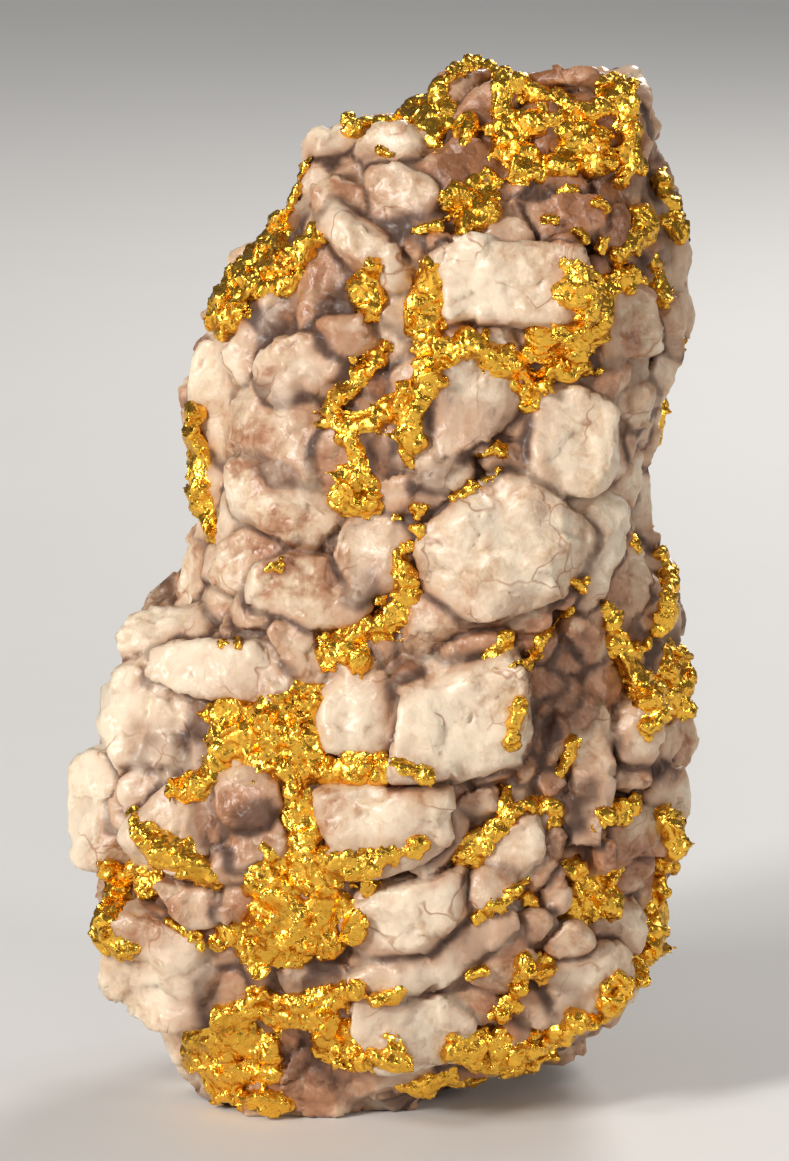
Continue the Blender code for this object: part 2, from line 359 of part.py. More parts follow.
def axes_at(out, tilt):
    """Rotation whose columns run along, up and out of the face, turned by tilt degrees."""
    right = Vector((0, 0, 1)).cross(out).normalized()
    turn = Matrix.Rotation(math.radians(tilt), 3, out)
    along = turn @ right
    return Matrix((along, out.cross(along), out)).transposed().to_4x4()


# ---- quartz ----

def ground_mass():
    """Loft through the horizontal sections, closed at both ends."""
    loft = bmesh.new()
    around = 48
    rings = []
    for z, left, right, front, back in SECTIONS:
        inset = INSET if z > INSET_FROM else 0.0
        left, right, front, back = left + inset, right - inset, front + inset, back - inset
        ring = []
        for i in range(around):
            angle = 2 * math.pi * i / around
            c, s = math.cos(angle), math.sin(angle)
            x = (left + right) / 2 + (right - left) / 2 * math.copysign(abs(c) ** (2 / SECTION_POWER), c)
            y = (front + back) / 2 + (back - front) / 2 * math.copysign(abs(s) ** (2 / SECTION_POWER), s)
            ring.append(loft.verts.new((x, y, z)))
        rings.append(ring)
    for low, high in zip(rings, rings[1:]):
        for i in range(around):
            j = (i + 1) % around
            loft.faces.new((low[i], low[j], high[j], high[i]))
    loft.faces.new(list(reversed(rings[0])))
    loft.faces.new(rings[-1])
    return loft


def chip_planes(rng):
    """Planes that chip a unit block: a unit normal and its distance from the middle."""
    planes = []
    while len(planes) < CHIPS:
        way = Vector([rng.choice((-1, 0, 1)) + rng.uniform(-0.3, 0.3) for _ in range(3)])
        if way.length < 1.15:
            continue
        way.normalize()
        reach = abs(way.x) + abs(way.y) + abs(way.z)
        planes.append((way, reach * rng.uniform(0.64, 0.84)))
    return planes


def add_block(target, centre, frame, size, rng):
    """A chipped block of quartz."""
    block = bmesh.new()
    bmesh.ops.create_cube(block, size=2.0)
    for way, distance in chip_planes(rng):
        everything = block.verts[:] + block.edges[:] + block.faces[:]
        cut = bmesh.ops.bisect_plane(block, geom=everything, plane_co=way * distance, plane_no=way,
                                     clear_outer=True)
        rim = [item for item in cut["geom_cut"] if isinstance(item, bmesh.types.BMEdge)]
        if len(rim) > 2:
            bmesh.ops.contextual_create(block, geom=rim)
    scale = Matrix.Diagonal((size[0] / 2, size[1] / 2, size[2] / 2, 1.0))
    block.transform(Matrix.Translation(centre) @ frame @ scale)
    append(target, block)


def append(target, extra):
    """Move one bmesh's geometry into another."""
    carrier = bpy.data.meshes.new("carrier")
    extra.to_mesh(carrier)
    extra.free()
    target.from_mesh(carrier)
    bpy.data.meshes.remove(carrier)


def face_block_frame(u, v):
    """Point and outward way of a block drawn at (u, v): between the viewer's way and the skin's."""
    point = on_face(u, v)
    viewer = Vector((0, -math.cos(LEAN), math.sin(LEAN)))
    return point, (viewer * 0.9 + outward(point)).normalized()


def block_depth(width, height):
    """How deep a block reaches from its outer face."""
    return DEPTH_SHARE * min(width, height) + DEPTH_ADDED


def face_blocks(target):
    for index, (u, v, width, height, tilt, stand_out) in enumerate(FACE_BLOCKS):
        rng = random.Random(SEED + index)
        point, out = face_block_frame(u, v)
        depth = block_depth(width, height)
        centre = point + out * (stand_out - depth / 2)
        size = (width * BLOCK_SWELL, height * BLOCK_SWELL, depth)
        add_block(target, centre, axes_at(out, tilt), size, rng)


def gold_marks():
    """Every (u, v, half-width) of the gold on the face."""
    return [mark[:3] for strokes in GOLD.values() for stroke in strokes for mark in stroke]


def is_free(u, v, marks):
    """True where neither a drawn block nor gold covers (u, v)."""
    for bu, bv, width, height, _, _ in FACE_BLOCKS:
        if abs(u - bu) < width * 0.5 and abs(v - bv) < height * 0.5:
            return False
    return all(math.hypot(u - gu, v - gv) > half + CLEAR_OF_GOLD for gu, gv, half in marks)


def fill_blocks(target):
    """Rows of blocks round the ground mass, left out where the drawing shows something else."""
    rng = random.Random(SEED)
    marks = gold_marks()
    viewer = Vector((0, -math.cos(LEAN), math.sin(LEAN)))
    z = FILL_HEIGHTS[0]
    while z < FILL_HEIGHTS[1]:
        left, right, front, back = section(z)
        around = math.pi * (right - left + back - front) / 2
        count = max(6, round(around / FILL_STEP))
        for i in range(count):
            angle = 2 * math.pi * (i + rng.uniform(-0.3, 0.3)) / count
            height = z + rng.uniform(-2.0, 2.0)
            width, tall = rng.uniform(*FILL_WIDTH), rng.uniform(*FILL_HEIGHT)
            tilt, stand_out = rng.uniform(*FILL_TILT), rng.uniform(*FILL_STAND_OUT)
            block_rng = random.Random(rng.randrange(10 ** 6))
            point = skin_point(angle, height)
            out = outward(point)
            seen = out.dot(viewer) > SEEN
            if seen and not is_free(*drawn(point), marks):
                continue
            if seen:
                width, tall, stand_out = width * FACE_SHRINK, tall * FACE_SHRINK, stand_out * FACE_SHRINK
            elif abs(out.x) > FLANK:
                stand_out = block_rng.uniform(*SIDE_STAND_OUT)
            elif out.y > BACKWARD:
                width, tall = width * BACK_GROWTH, tall * BACK_GROWTH
                stand_out = block_rng.uniform(*BACK_STAND_OUT)
            depth = block_depth(width, tall)
            centre = point + out * (stand_out - depth / 2)
            add_block(target, centre, axes_at(out, tilt), (width, tall, depth), block_rng)
        z += FILL_ROW


def skin_point(angle, z):
    left, right, front, back = section(z)
    c, s = math.cos(angle), math.sin(angle)
    x = (left + right) / 2 + (right - left) / 2 * math.copysign(abs(c) ** (2 / SECTION_POWER), c)
    y = (front + back) / 2 + (back - front) / 2 * math.copysign(abs(s) ** (2 / SECTION_POWER), s)
    return Vector((x, y, z))


def grown_together(geometry, grain, facets):
    """Fuse overlapping forms into one skin with at most the given number of facets."""
    mesh = bpy.data.meshes.new("forms")
    geometry.to_mesh(mesh)
    geometry.free()
    holder = bpy.data.objects.new("forms", mesh)
    bpy.context.scene.collection.objects.link(holder)
    fuse = holder.modifiers.new("fuse", "REMESH")
    fuse.mode = "VOXEL"
    fuse.voxel_size = grain
    fused = applied(holder)
    count = sum(len(face.vertices) - 2 for face in fused.data.polygons)
    thin = fused.modifiers.new("thin", "DECIMATE")
    thin.ratio = min(1.0, facets / count)
    thin.use_collapse_triangulate = True
    return applied(fused)


def applied(holder):
    """The object with its modifiers made real, as a new object that takes its place."""
    graph = bpy.context.evaluated_depsgraph_get()
    graph.update()
    mesh = bpy.data.meshes.new_from_object(holder.evaluated_get(graph))
    result = bpy.data.objects.new(holder.name, mesh)
    bpy.context.scene.collection.objects.link(result)
    discard(holder)
    return result


def discard(holder):
    mesh = holder.data
    bpy.data.objects.remove(holder)
    bpy.data.meshes.remove(mesh)


def cut_level(geometry, height):
    """Cut everything below a height away and close the cut with one flat face."""
    everything = geometry.verts[:] + geometry.edges[:] + geometry.faces[:]
    cut = bmesh.ops.bisect_plane(geometry, geom=everything, dist=1e-5, plane_co=(0, 0, height),
                                 plane_no=(0, 0, -1), clear_outer=True)
    rim = [item for item in cut["geom_cut"] if isinstance(item, bmesh.types.BMEdge)]
    if rim:
        bmesh.ops.triangle_fill(geometry, edges=rim, use_beauty=True)
        bmesh.ops.recalc_face_normals(geometry, faces=geometry.faces[:])


def largest_body(geometry):
    """Delete every loose body but the largest."""
    left_over = set(geometry.verts)
    bodies = []
    while left_over:
        front = [left_over.pop()]
        body = set(front)
        while front:
            vert = front.pop()
            for edge in vert.link_edges:
                other = edge.other_vert(vert)
                if other in left_over:
                    left_over.discard(other)
                    body.add(other)
                    front.append(other)
        bodies.append(body)
    bodies.sort(key=len)
    for body in bodies[:-1]:
        bmesh.ops.delete(geometry, geom=list(body), context="VERTS")


def make_quartz():
    geometry = ground_mass()
    face_blocks(geometry)
    fill_blocks(geometry)
    quartz = grown_together(geometry, QUARTZ_GRAIN, QUARTZ_FACETS)
    return quartz


# ---- gold ----

def sight(u, v, turn):
    """Start and way of the line of sight through (u, v) of the drawing turned by some degrees."""
    spin = Matrix.Rotation(math.radians(turn), 3, "Z")
    up = Vector((0, math.sin(LEAN), math.cos(LEAN)))
    way = Vector((0, math.cos(LEAN), -math.sin(LEAN)))
    start = Vector((u, 0, 0)) + up * (v - DRAWING_BASE) - way * 200.0
    return spin @ start, spin @ way


def touch(skin, u, v, turn):
    """Where the line of sight meets the quartz, or its nearest point where it passes the edge."""
    start, way = sight(u, v, turn)
    point, normal, _, _ = skin.ray_cast(start, way)
    if point is None:
        passing = start + way * 200.0
        point, normal, _, _ = skin.find_nearest(passing)
        point = passing.lerp(point, 0.5)
    return point, (normal - way * 0.8).normalized()


def at_depth(u, v, y):
    """The point drawn at (u, v) whose depth is y, and the way out of the ground mass there."""
    point = Vector((u, y, (v - DRAWING_BASE - y * math.sin(LEAN)) / math.cos(LEAN)))
    return point, outward(point)


def marks_along(stroke):
    """Marks (u, v, half-width, depth or None) along a stroke, half a half-width apart."""
    rows = [mark if len(mark) == 4 else mark + (None,) for mark in stroke]
    for start, end in zip(rows, rows[1:]):
        length = math.hypot(end[0] - start[0], end[1] - start[1])
        steps = max(1, round(length / (0.25 * (start[2] + end[2]))))
        numbers = 4 if None not in (start[3], end[3]) else 3
        for i in range(steps):
            t = i / steps
            between = tuple(start[k] + (end[k] - start[k]) * t for k in range(numbers))
            yield between if numbers == 4 else between + (None,)
    yield rows[-1]


def trail(skin, stroke, turn):
    """The stroke laid on the quartz: places [point, outward way, half-width], evened in depth."""
    places = []
    for u, v, half, depth in marks_along(stroke):
        point, out = touch(skin, u, v, turn) if depth is None else at_depth(u, v, depth)
        places.append([point, out, half])
    way = sight(0, 0, turn)[1]
    for _ in range(EVENING):
        depths = [place[0].dot(way) for place in places]
        outs = [place[1] for place in places]
        for i, place in enumerate(places):
            near = range(max(i - 1, 0), min(i + 2, len(places)))
            place[0] = place[0] + way * (sum(depths[j] for j in near) / len(near) - depths[i])
            place[1] = sum((outs[j] for j in near), Vector()).normalized()
    return places


def bridged(places):
    """The places with more between any two that lie too far apart to overlap."""
    for (p0, o0, r0), (p1, o1, r1) in zip(places, places[1:]):
        steps = max(1, math.ceil((p1 - p0).length / (0.7 * min(r0, r1))))
        for i in range(steps):
            t = i / steps
            yield p0.lerp(p1, t), o0.lerp(o1, t).normalized(), r0 + (r1 - r0) * t
    yield places[-1]


def gold_forms(skin, strokes, turn, rng):
    """Overlapping flattened nuggets laid along the strokes."""
    forms = bmesh.new()
    for stroke in strokes:
        for point, out, half in bridged(trail(skin, stroke, turn)):
            wide = half * rng.uniform(*NUGGET_SPREAD)
            tall = wide * rng.uniform(*NUGGET_ASPECT)
            thick = NUGGET_THICKNESS * half + NUGGET_CORE
            frame = axes_at(out, rng.uniform(0, 180))
            sideways = [rng.uniform(-NUGGET_STRAY, NUGGET_STRAY) * half for _ in range(2)]
            stray = frame.to_3x3() @ Vector((*sideways, NUGGET_LIFT * half + rng.uniform(*NUGGET_BOB)))
            nugget = bmesh.new()
            bmesh.ops.create_icosphere(nugget, subdivisions=2, radius=1.0)
            scale = Matrix.Diagonal((wide, tall, thick, 1.0))
            nugget.transform(Matrix.Translation(point + stray) @ frame @ scale)
            append(forms, nugget)
    return forms


def drawn_area(strokes):
    """Area that the strokes cover on the drawing."""
    total = 0.0
    for stroke in strokes:
        for start, end in zip(stroke, stroke[1:]):
            total += math.hypot(end[0] - start[0], end[1] - start[1]) * (start[2] + end[2])
        total += math.pi * stroke[0][2] ** 2
    return total


def make_gold(name, skin, strokes, turn, seed):
    rng = random.Random(seed)
    facets = max(70, round(drawn_area(strokes) * FACETS_PER_SQUARE_MM))
    mass = grown_together(gold_forms(skin, strokes, turn, rng), GOLD_GRAIN, facets)
    mass.name = name
    shape = bmesh.new()
    shape.from_mesh(mass.data)
    largest_body(shape)
    cut_level(shape, GOLD_LOWEST)
    shape.to_mesh(mass.data)
    shape.free()
    return mass


def swollen(mass):
    """A copy of a gold mass, larger by the gap all over."""
    shape = bmesh.new()
    shape.from_mesh(mass.data)
    shape.normal_update()
    moves = [(vert, vert.normal * GAP) for vert in shape.verts]
    for vert, move in moves:
        vert.co += move
    return shape


def cut_pockets(quartz, masses):
    """Cut the pockets that hold the gold out of the quartz."""
    forms = bmesh.new()
    for mass in masses:
        append(forms, swollen(mass))
    mesh = bpy.data.meshes.new("pockets")
    forms.to_mesh(mesh)
    forms.free()
    cutter = bpy.data.objects.new("pockets", mesh)
    bpy.context.scene.collection.objects.link(cutter)
    cutter.hide_render = True
    cutter.display_type = "WIRE"
    cut = quartz.modifiers.new("pockets", "BOOLEAN")
    cut.operation = "DIFFERENCE"
    cut.solver = "EXACT"
    cut.use_self = True
    cut.object = cutter
    result = applied(quartz)
    discard(cutter)
    shape = bmesh.new()
    shape.from_mesh(result.data)
    bmesh.ops.triangulate(shape, faces=shape.faces[:])
    bmesh.ops.remove_doubles(shape, verts=shape.verts[:], dist=0.002)
    largest_body(shape)
    count = len(shape.faces)
    shape.to_mesh(result.data)
    shape.free()
    thin = result.modifiers.new("thin", "DECIMATE")
    thin.ratio = min(1.0, POCKETED_FACETS / count)
    thin.use_collapse_triangulate = True
    result = applied(result)
    shape = bmesh.new()
    shape.from_mesh(result.data)
    cut_level(shape, 0.0)
    bmesh.ops.triangulate(shape, faces=shape.faces[:])
    largest_body(shape)
    shape.to_mesh(result.data)
    shape.free()
    return result


def ease(mass, quartz):
    """Move a gold mass's facets out of any quartz they meet."""
    stone = bmesh.new()
    stone.from_mesh(quartz.data)
    stone.faces.ensure_lookup_table()
    stone.normal_update()
    wall = BVHTree.FromBMesh(stone)
    shape = bmesh.new()
    shape.from_mesh(mass.data)
    shape.faces.ensure_lookup_table()
    for _ in range(EASING_ROUNDS):
        for vert in shape.verts:
            point, _, _, distance = wall.find_nearest(vert.co)
            if 0 < distance < LEAST_GAP:
                vert.co += (vert.co - point).normalized() * (LEAST_GAP - distance)
        meetings = BVHTree.FromBMesh(shape).overlap(wall)
        if not meetings:
            break
        steps = {}
        for facet, met in meetings:
            for vert in shape.faces[facet].verts:
                steps.setdefault(vert, set()).add(met)
        for vert, walls in steps.items():
            away = sum((stone.faces[index].normal for index in walls), Vector())
            vert.co += away.normalized() * EASE
    shape.to_mesh(mass.data)
    shape.free()
    stone.free()


# ---- materials and hand-over ----

def material(name, colour, roughness, metallic):
    made = bpy.data.materials.new(name)
    made.use_nodes = True
    shader = made.node_tree.nodes["Principled BSDF"]
    shader.inputs["Base Color"].default_value = colour
    shader.inputs["Roughness"].default_value = roughness
    shader.inputs["Metallic"].default_value = metallic
    made.diffuse_color = colour
    return made


def publish(piece, name, finish, parent):
    """Bring a piece to metres, name it, colour it and hang it on the specimen's empty."""
    piece.data.transform(Matrix.Scale(TO_METRES, 4))
    piece.name = name
    piece.data.name = name
    piece.data.materials.clear()
    piece.data.materials.append(finish)
    piece.parent = parent


def clear_scene():
    for item in list(bpy.data.objects):
        bpy.data.objects.remove(item, do_unlink=True)


def main():
    clear_scene()
    quartz = make_quartz()
    level = bmesh.new()
    level.from_mesh(quartz.data)
    skin = BVHTree.FromBMesh(level)
    level.free()
    jobs = [(name, strokes, 0.0) for name, strokes in GOLD.items()]
    jobs += [(name, strokes, turn) for name, (turn, strokes) in TURNED_GOLD.items()]
    masses = [make_gold(name, skin, strokes, turn, SEED * 100 + index)
              for index, (name, strokes, turn) in enumerate(jobs)]
    quartz = cut_pockets(quartz, masses)
    for mass in masses:
        ease(mass, quartz)
    specimen = bpy.data.objects.new("specimen", None)
    bpy.context.scene.collection.objects.link(specimen)
    publish(quartz, "quartz", material("quartz", QUARTZ_COLOUR, 0.38, 0.0), specimen)
    for mass in masses:
        publish(mass, mass.name, material(mass.name, GOLD_COLOUR, 0.32, 1.0), specimen)


main()
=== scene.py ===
"""Looks of a gold in quartz specimen: cracked and stained quartz blocks, crumpled native gold, studio.

Shapes are distance fields on grids, in millimetres, made from the same blocks and gold strokes as the
solids, and then turned into meshes. +Z is up and -Y is the front. Places on the face are given on an
elevation drawing (u to the right, v up) whose plane leans back by LEAN.
"""

import math
import random

import bpy
import numpy as np
from mathutils import Matrix, Vector


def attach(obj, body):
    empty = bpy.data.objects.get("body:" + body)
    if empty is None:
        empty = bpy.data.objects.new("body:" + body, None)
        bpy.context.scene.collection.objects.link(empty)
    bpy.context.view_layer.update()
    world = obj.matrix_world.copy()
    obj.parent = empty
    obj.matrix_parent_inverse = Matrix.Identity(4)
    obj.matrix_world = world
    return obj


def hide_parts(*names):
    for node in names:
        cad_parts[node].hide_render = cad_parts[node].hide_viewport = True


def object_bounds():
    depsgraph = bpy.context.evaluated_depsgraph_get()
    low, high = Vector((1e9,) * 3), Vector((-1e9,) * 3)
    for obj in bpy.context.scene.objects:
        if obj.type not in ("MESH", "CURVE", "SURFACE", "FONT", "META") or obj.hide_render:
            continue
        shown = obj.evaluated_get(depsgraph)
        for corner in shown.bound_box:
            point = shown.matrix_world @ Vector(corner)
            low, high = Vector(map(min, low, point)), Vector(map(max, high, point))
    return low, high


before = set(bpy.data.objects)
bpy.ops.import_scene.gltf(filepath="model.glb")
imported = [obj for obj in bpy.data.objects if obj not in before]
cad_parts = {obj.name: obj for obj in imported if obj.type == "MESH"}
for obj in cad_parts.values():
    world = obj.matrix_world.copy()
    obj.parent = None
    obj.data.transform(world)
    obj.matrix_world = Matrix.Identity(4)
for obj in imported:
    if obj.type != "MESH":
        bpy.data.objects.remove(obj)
CAD_BOX = [list(corner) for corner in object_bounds()]

# ---- driving dimensions, in millimetres ----
MM = 0.001
LEAN = math.radians(12.0)      # how far the elevation drawing leans back
VIEWER = Vector((0, -math.cos(LEAN), math.sin(LEAN)))   # the way from the specimen to the viewer
DRAWING_BASE = 3.1             # v of the origin on the drawing
SECTION_POWER = 2.4            # roundness of the horizontal sections: 2 is an ellipse
INSET = 0.2                    # how far the ground mass lies inside the sections, above the foot
INSET_FROM = 3.0               # height where the inset starts
FACE_PASSES = 12               # passes that find a point of the face
EDGE_ON = 0.985                # how far out from the middle such a point may lie: 1 is the outline
SEED = 41

QUARTZ_CELL = 0.4              # size of the cells of the quartz's grid
QUARTZ_ROOM = ((-38.0, -30.0, -1.6), (36.0, 34.5, 112.0))   # low and high corner of that grid
QUARTZ_FACETS = 194000         # triangles left to the quartz
REACH = 1.6                    # how far outside a block its distance is worked out

# Horizontal sections of the whole specimen: height, left, right, front, back.
SECTIONS = [
    (-1.5, -20.5, 6.5, -14.5, 15.0),
    (0.0, -20.5, 6.5, -14.5, 15.0),
    (2.5, -21.6, 11.8, -16.5, 18.0),
    (6.7, -22.5, 20.6, -19.0, 20.5),
    (11.0, -25.0, 24.0, -21.5, 22.5),
    (15.3, -29.4, 26.8, -22.5, 24.0),
    (19.6, -31.4, 27.8, -23.0, 25.0),
    (26.0, -31.0, 28.4, -23.5, 25.5),
    (30.4, -32.4, 27.8, -23.5, 25.5),
    (34.7, -31.0, 28.6, -23.0, 25.5),
    (41.1, -28.8, 29.0, -22.0, 25.0),
    (45.4, -26.4, 28.0, -21.0, 24.5),
    (49.7, -25.2, 27.4, -20.5, 24.0),
    (54.0, -19.8, 27.4, -19.5, 23.0),
    (58.3, -19.4, 26.0, -19.0, 22.5),
    (64.7, -18.2, 25.4, -18.5, 22.0),
    (71.2, -19.6, 27.0, -18.0, 21.5),
    (77.6, -18.6, 27.6, -17.5, 20.5),
    (84.0, -18.4, 28.4, -16.5, 19.0),
    (90.5, -12.8, 29.0, -15.0, 17.0),
    (94.8, -9.6, 27.8, -13.0, 15.0),
    (99.0, -6.8, 25.2, -10.5, 12.5),
    (103.4, 0.4, 25.0, -7.5, 8.5),
    (107.2, 5.2, 23.6, -3.6, 4.6),
]

# Quartz blocks on the face: u, v, width, height, tilt in degrees, stand-out.
TOP_BLOCKS = [
    (6.5, 106.6, 3.4, 3.0, 0, 1.6), (16.5, 106.4, 5.4, 2.6, -8, 1.0), (9.6, 104.2, 4.4, 3.0, 10, 0.8),
    (15.0, 101.4, 3.4, 2.4, 0, 0.8), (23.0, 101.8, 2.8, 4.4, 0, 0.8), (-5.0, 99.8, 7.0, 5.0, 24, 1.4),
    (0.6, 100.4, 5.0, 4.6, 10, 1.2), (6.0, 98.6, 6.0, 4.0, 15, 0.6), (-7.0, 95.6, 4.6, 4.0, 30, 1.2),
    (-3.8, 92.9, 5.4, 3.6, -12, 1.2), (-2.4, 89.6, 7.4, 3.6, -28, 2.2), (1.2, 95.6, 6.0, 5.0, 20, 1.0),
    (17.6, 94.0, 5.6, 4.6, 0, 0.4), (22.0, 92.4, 4.0, 4.6, 0, 0.4), (11.6, 93.0, 4.0, 3.4, 10, 0.8),
]
UPPER_BLOCKS = [
    (12.2, 86.0, 11.6, 7.6, 6, 3.4), (7.5, 90.0, 4.4, 2.8, 8, 1.4), (17.0, 90.2, 4.4, 2.8, 12, 1.2),
    (28.6, 88.0, 3.4, 8.4, 0, 1.4), (23.0, 82.4, 5.2, 5.0, 10, 1.8), (26.6, 83.0, 3.2, 5.2, 0, 1.2),
    (-15.5, 87.6, 5.0, 5.0, 20, 0.4), (-7.6, 86.0, 3.8, 8.0, -10, 0.8), (-5.6, 80.8, 5.6, 3.0, 6, 1.2),
    (-14.4, 79.0, 5.0, 4.4, -20, 1.0), (-17.6, 74.6, 6.0, 10.0, 4, 1.6), (-9.2, 77.6, 8.4, 4.2, 18, 1.6),
    (-11.6, 71.8, 6.4, 8.2, 12, 2.0), (-17.2, 67.0, 4.6, 5.4, 0, 1.3), (-17.8, 62.4, 4.0, 4.4, 0, 1.2),
    (-11.6, 64.2, 8.6, 6.2, -32, 2.2), (-6.6, 68.4, 3.2, 5.2, 0, 1.0), (-15.4, 62.0, 3.6, 5.6, -20, 1.2),
    (7.4, 75.0, 6.8, 8.0, 4, 2.2), (4.8, 70.0, 4.6, 4.8, 0, 1.6), (8.4, 70.2, 3.4, 2.8, -10, 1.6),
    (4.7, 66.8, 4.6, 2.4, 10, 1.6), (1.4, 64.8, 4.8, 2.8, 12, 1.4), (12.6, 71.2, 3.4, 3.4, 0, 1.2),
    (17.0, 70.6, 9.4, 8.8, 8, 3.0), (12.6, 67.4, 5.0, 3.6, 16, 1.6), (21.0, 76.4, 3.8, 3.2, 10, 1.4),
    (24.2, 74.4, 3.8, 3.0, -10, 1.4), (22.8, 71.0, 2.2, 3.4, 0, 1.2), (23.8, 67.4, 3.8, 4.4, 0, 1.4),
    (17.0, 65.2, 4.6, 2.4, 10, 0.8), (26.2, 78.4, 2.6, 6.4, -6, 1.2), (27.2, 71.8, 2.4, 7.4, 4, 1.2),
    (26.6, 64.0, 2.4, 6.4, 2, 1.2), (14.6, 79.8, 4.4, 3.0, 10, 0.6), (2.6, 75.2, 3.4, 4.4, 20, 0.8),
]
MIDDLE_BLOCKS = [
    (10.2, 59.0, 13.4, 9.6, 34, 3.4), (18.0, 60.6, 6.6, 9.6, -24, 2.2), (22.2, 57.6, 4.2, 4.8, 10, 1.6),
    (3.6, 62.0, 4.6, 3.4, 30, 1.0), (-2.4, 58.4, 5.2, 7.0, -12, 1.8), (-8.0, 54.4, 9.4, 5.2, 10, 2.0),
    (-14.4, 57.4, 4.8, 4.4, -24, 1.4), (-19.6, 57.2, 3.6, 5.6, 0, 1.2), (-12.4, 51.6, 4.6, 3.4, 0, 1.2),
    (-22.2, 50.6, 9.0, 4.4, 4, 2.2), (-16.6, 53.6, 3.4, 3.8, 0, 0.8), (6.0, 51.8, 8.4, 4.0, 8, 1.6),
    (7.6, 48.4, 5.6, 2.2, 8, 1.2), (15.4, 54.8, 4.4, 2.4, 20, 1.2), (12.6, 51.8, 4.2, 3.2, 20, 1.2),
    (13.6, 48.8, 3.2, 2.8, 0, 1.0), (18.6, 51.0, 3.2, 4.4, 14, 1.2), (20.4, 48.4, 4.6, 4.4, 20, 1.0),
    (20.0, 45.0, 3.4, 3.4, 0, 1.2), (16.8, 47.4, 2.2, 3.8, -14, 1.0), (24.4, 54.8, 3.0, 4.4, 0, 1.2),
    (25.6, 60.6, 2.6, 4.0, 0, 1.2), (-17.6, 46.4, 13.4, 4.2, -5, 1.8), (-24.6, 42.7, 10.4, 8.4, 0, 3.2),
    (-9.6, 48.0, 4.6, 3.6, -30, 0.8), (-24.0, 37.0, 6.6, 6.2, -20, 2.4), (-27.8, 36.4, 3.4, 6.6, 10, 1.2),
    (5.6, 41.8, 11.4, 10.2, 4, 3.8), (-3.2, 42.6, 5.2, 8.2, -28, 1.8), (0.6, 46.2, 3.0, 3.0, 0, 1.2),
]
RIGHT_BLOCKS = [
    (11.2, 46.0, 2.8, 2.2, -30, 1.2), (14.4, 44.6, 2.8, 2.4, 10, 1.0), (16.2, 42.9, 2.4, 3.8, -8, 1.2),
    (18.1, 42.0, 2.3, 4.2, -22, 1.4), (11.3, 41.8, 2.2, 2.6, 20, 1.4), (14.7, 40.0, 2.0, 5.0, 12, 1.2),
    (15.9, 38.8, 1.8, 3.8, 0, 1.5), (13.5, 36.4, 1.9, 2.1, 0, 1.2), (16.0, 35.4, 2.0, 3.0, 0, 1.0),
    (22.8, 44.2, 2.6, 5.2, -22, 1.2), (19.6, 36.0, 2.9, 12.4, -5, 1.6), (23.2, 39.6, 3.6, 6.8, 4, 2.4),
    (28.6, 38.8, 4.2, 5.0, 20, 1.6), (26.4, 38.4, 3.2, 3.6, 0, 1.2), (22.7, 35.2, 4.4, 2.6, 0, 1.8),
    (26.6, 34.6, 4.6, 3.6, -32, 2.4), (8.4, 33.6, 4.4, 3.2, 24, 0.8), (12.8, 32.2, 3.2, 2.0, 10, 1.0),
    (15.1, 31.2, 2.2, 2.2, 0, 0.8), (12.4, 28.0, 4.6, 5.0, 20, 2.2), (15.6, 27.4, 2.4, 5.0, -24, 1.6),
    (16.7, 24.4, 2.2, 3.4, -14, 1.2), (18.6, 32.0, 2.4, 4.2, 0, 1.2), (20.6, 28.3, 1.8, 3.8, 0, 1.8),
    (24.0, 29.2, 5.6, 4.8, 8, 1.8), (26.2, 31.4, 2.8, 3.4, 0, 1.6), (24.7, 25.6, 3.0, 3.8, -8, 1.4),
    (26.0, 22.8, 2.6, 4.0, 14, 1.0), (4.8, 29.6, 4.6, 6.0, -34, 1.0), (9.6, 37.2, 4.4, 2.4, 10, 0.8),
]
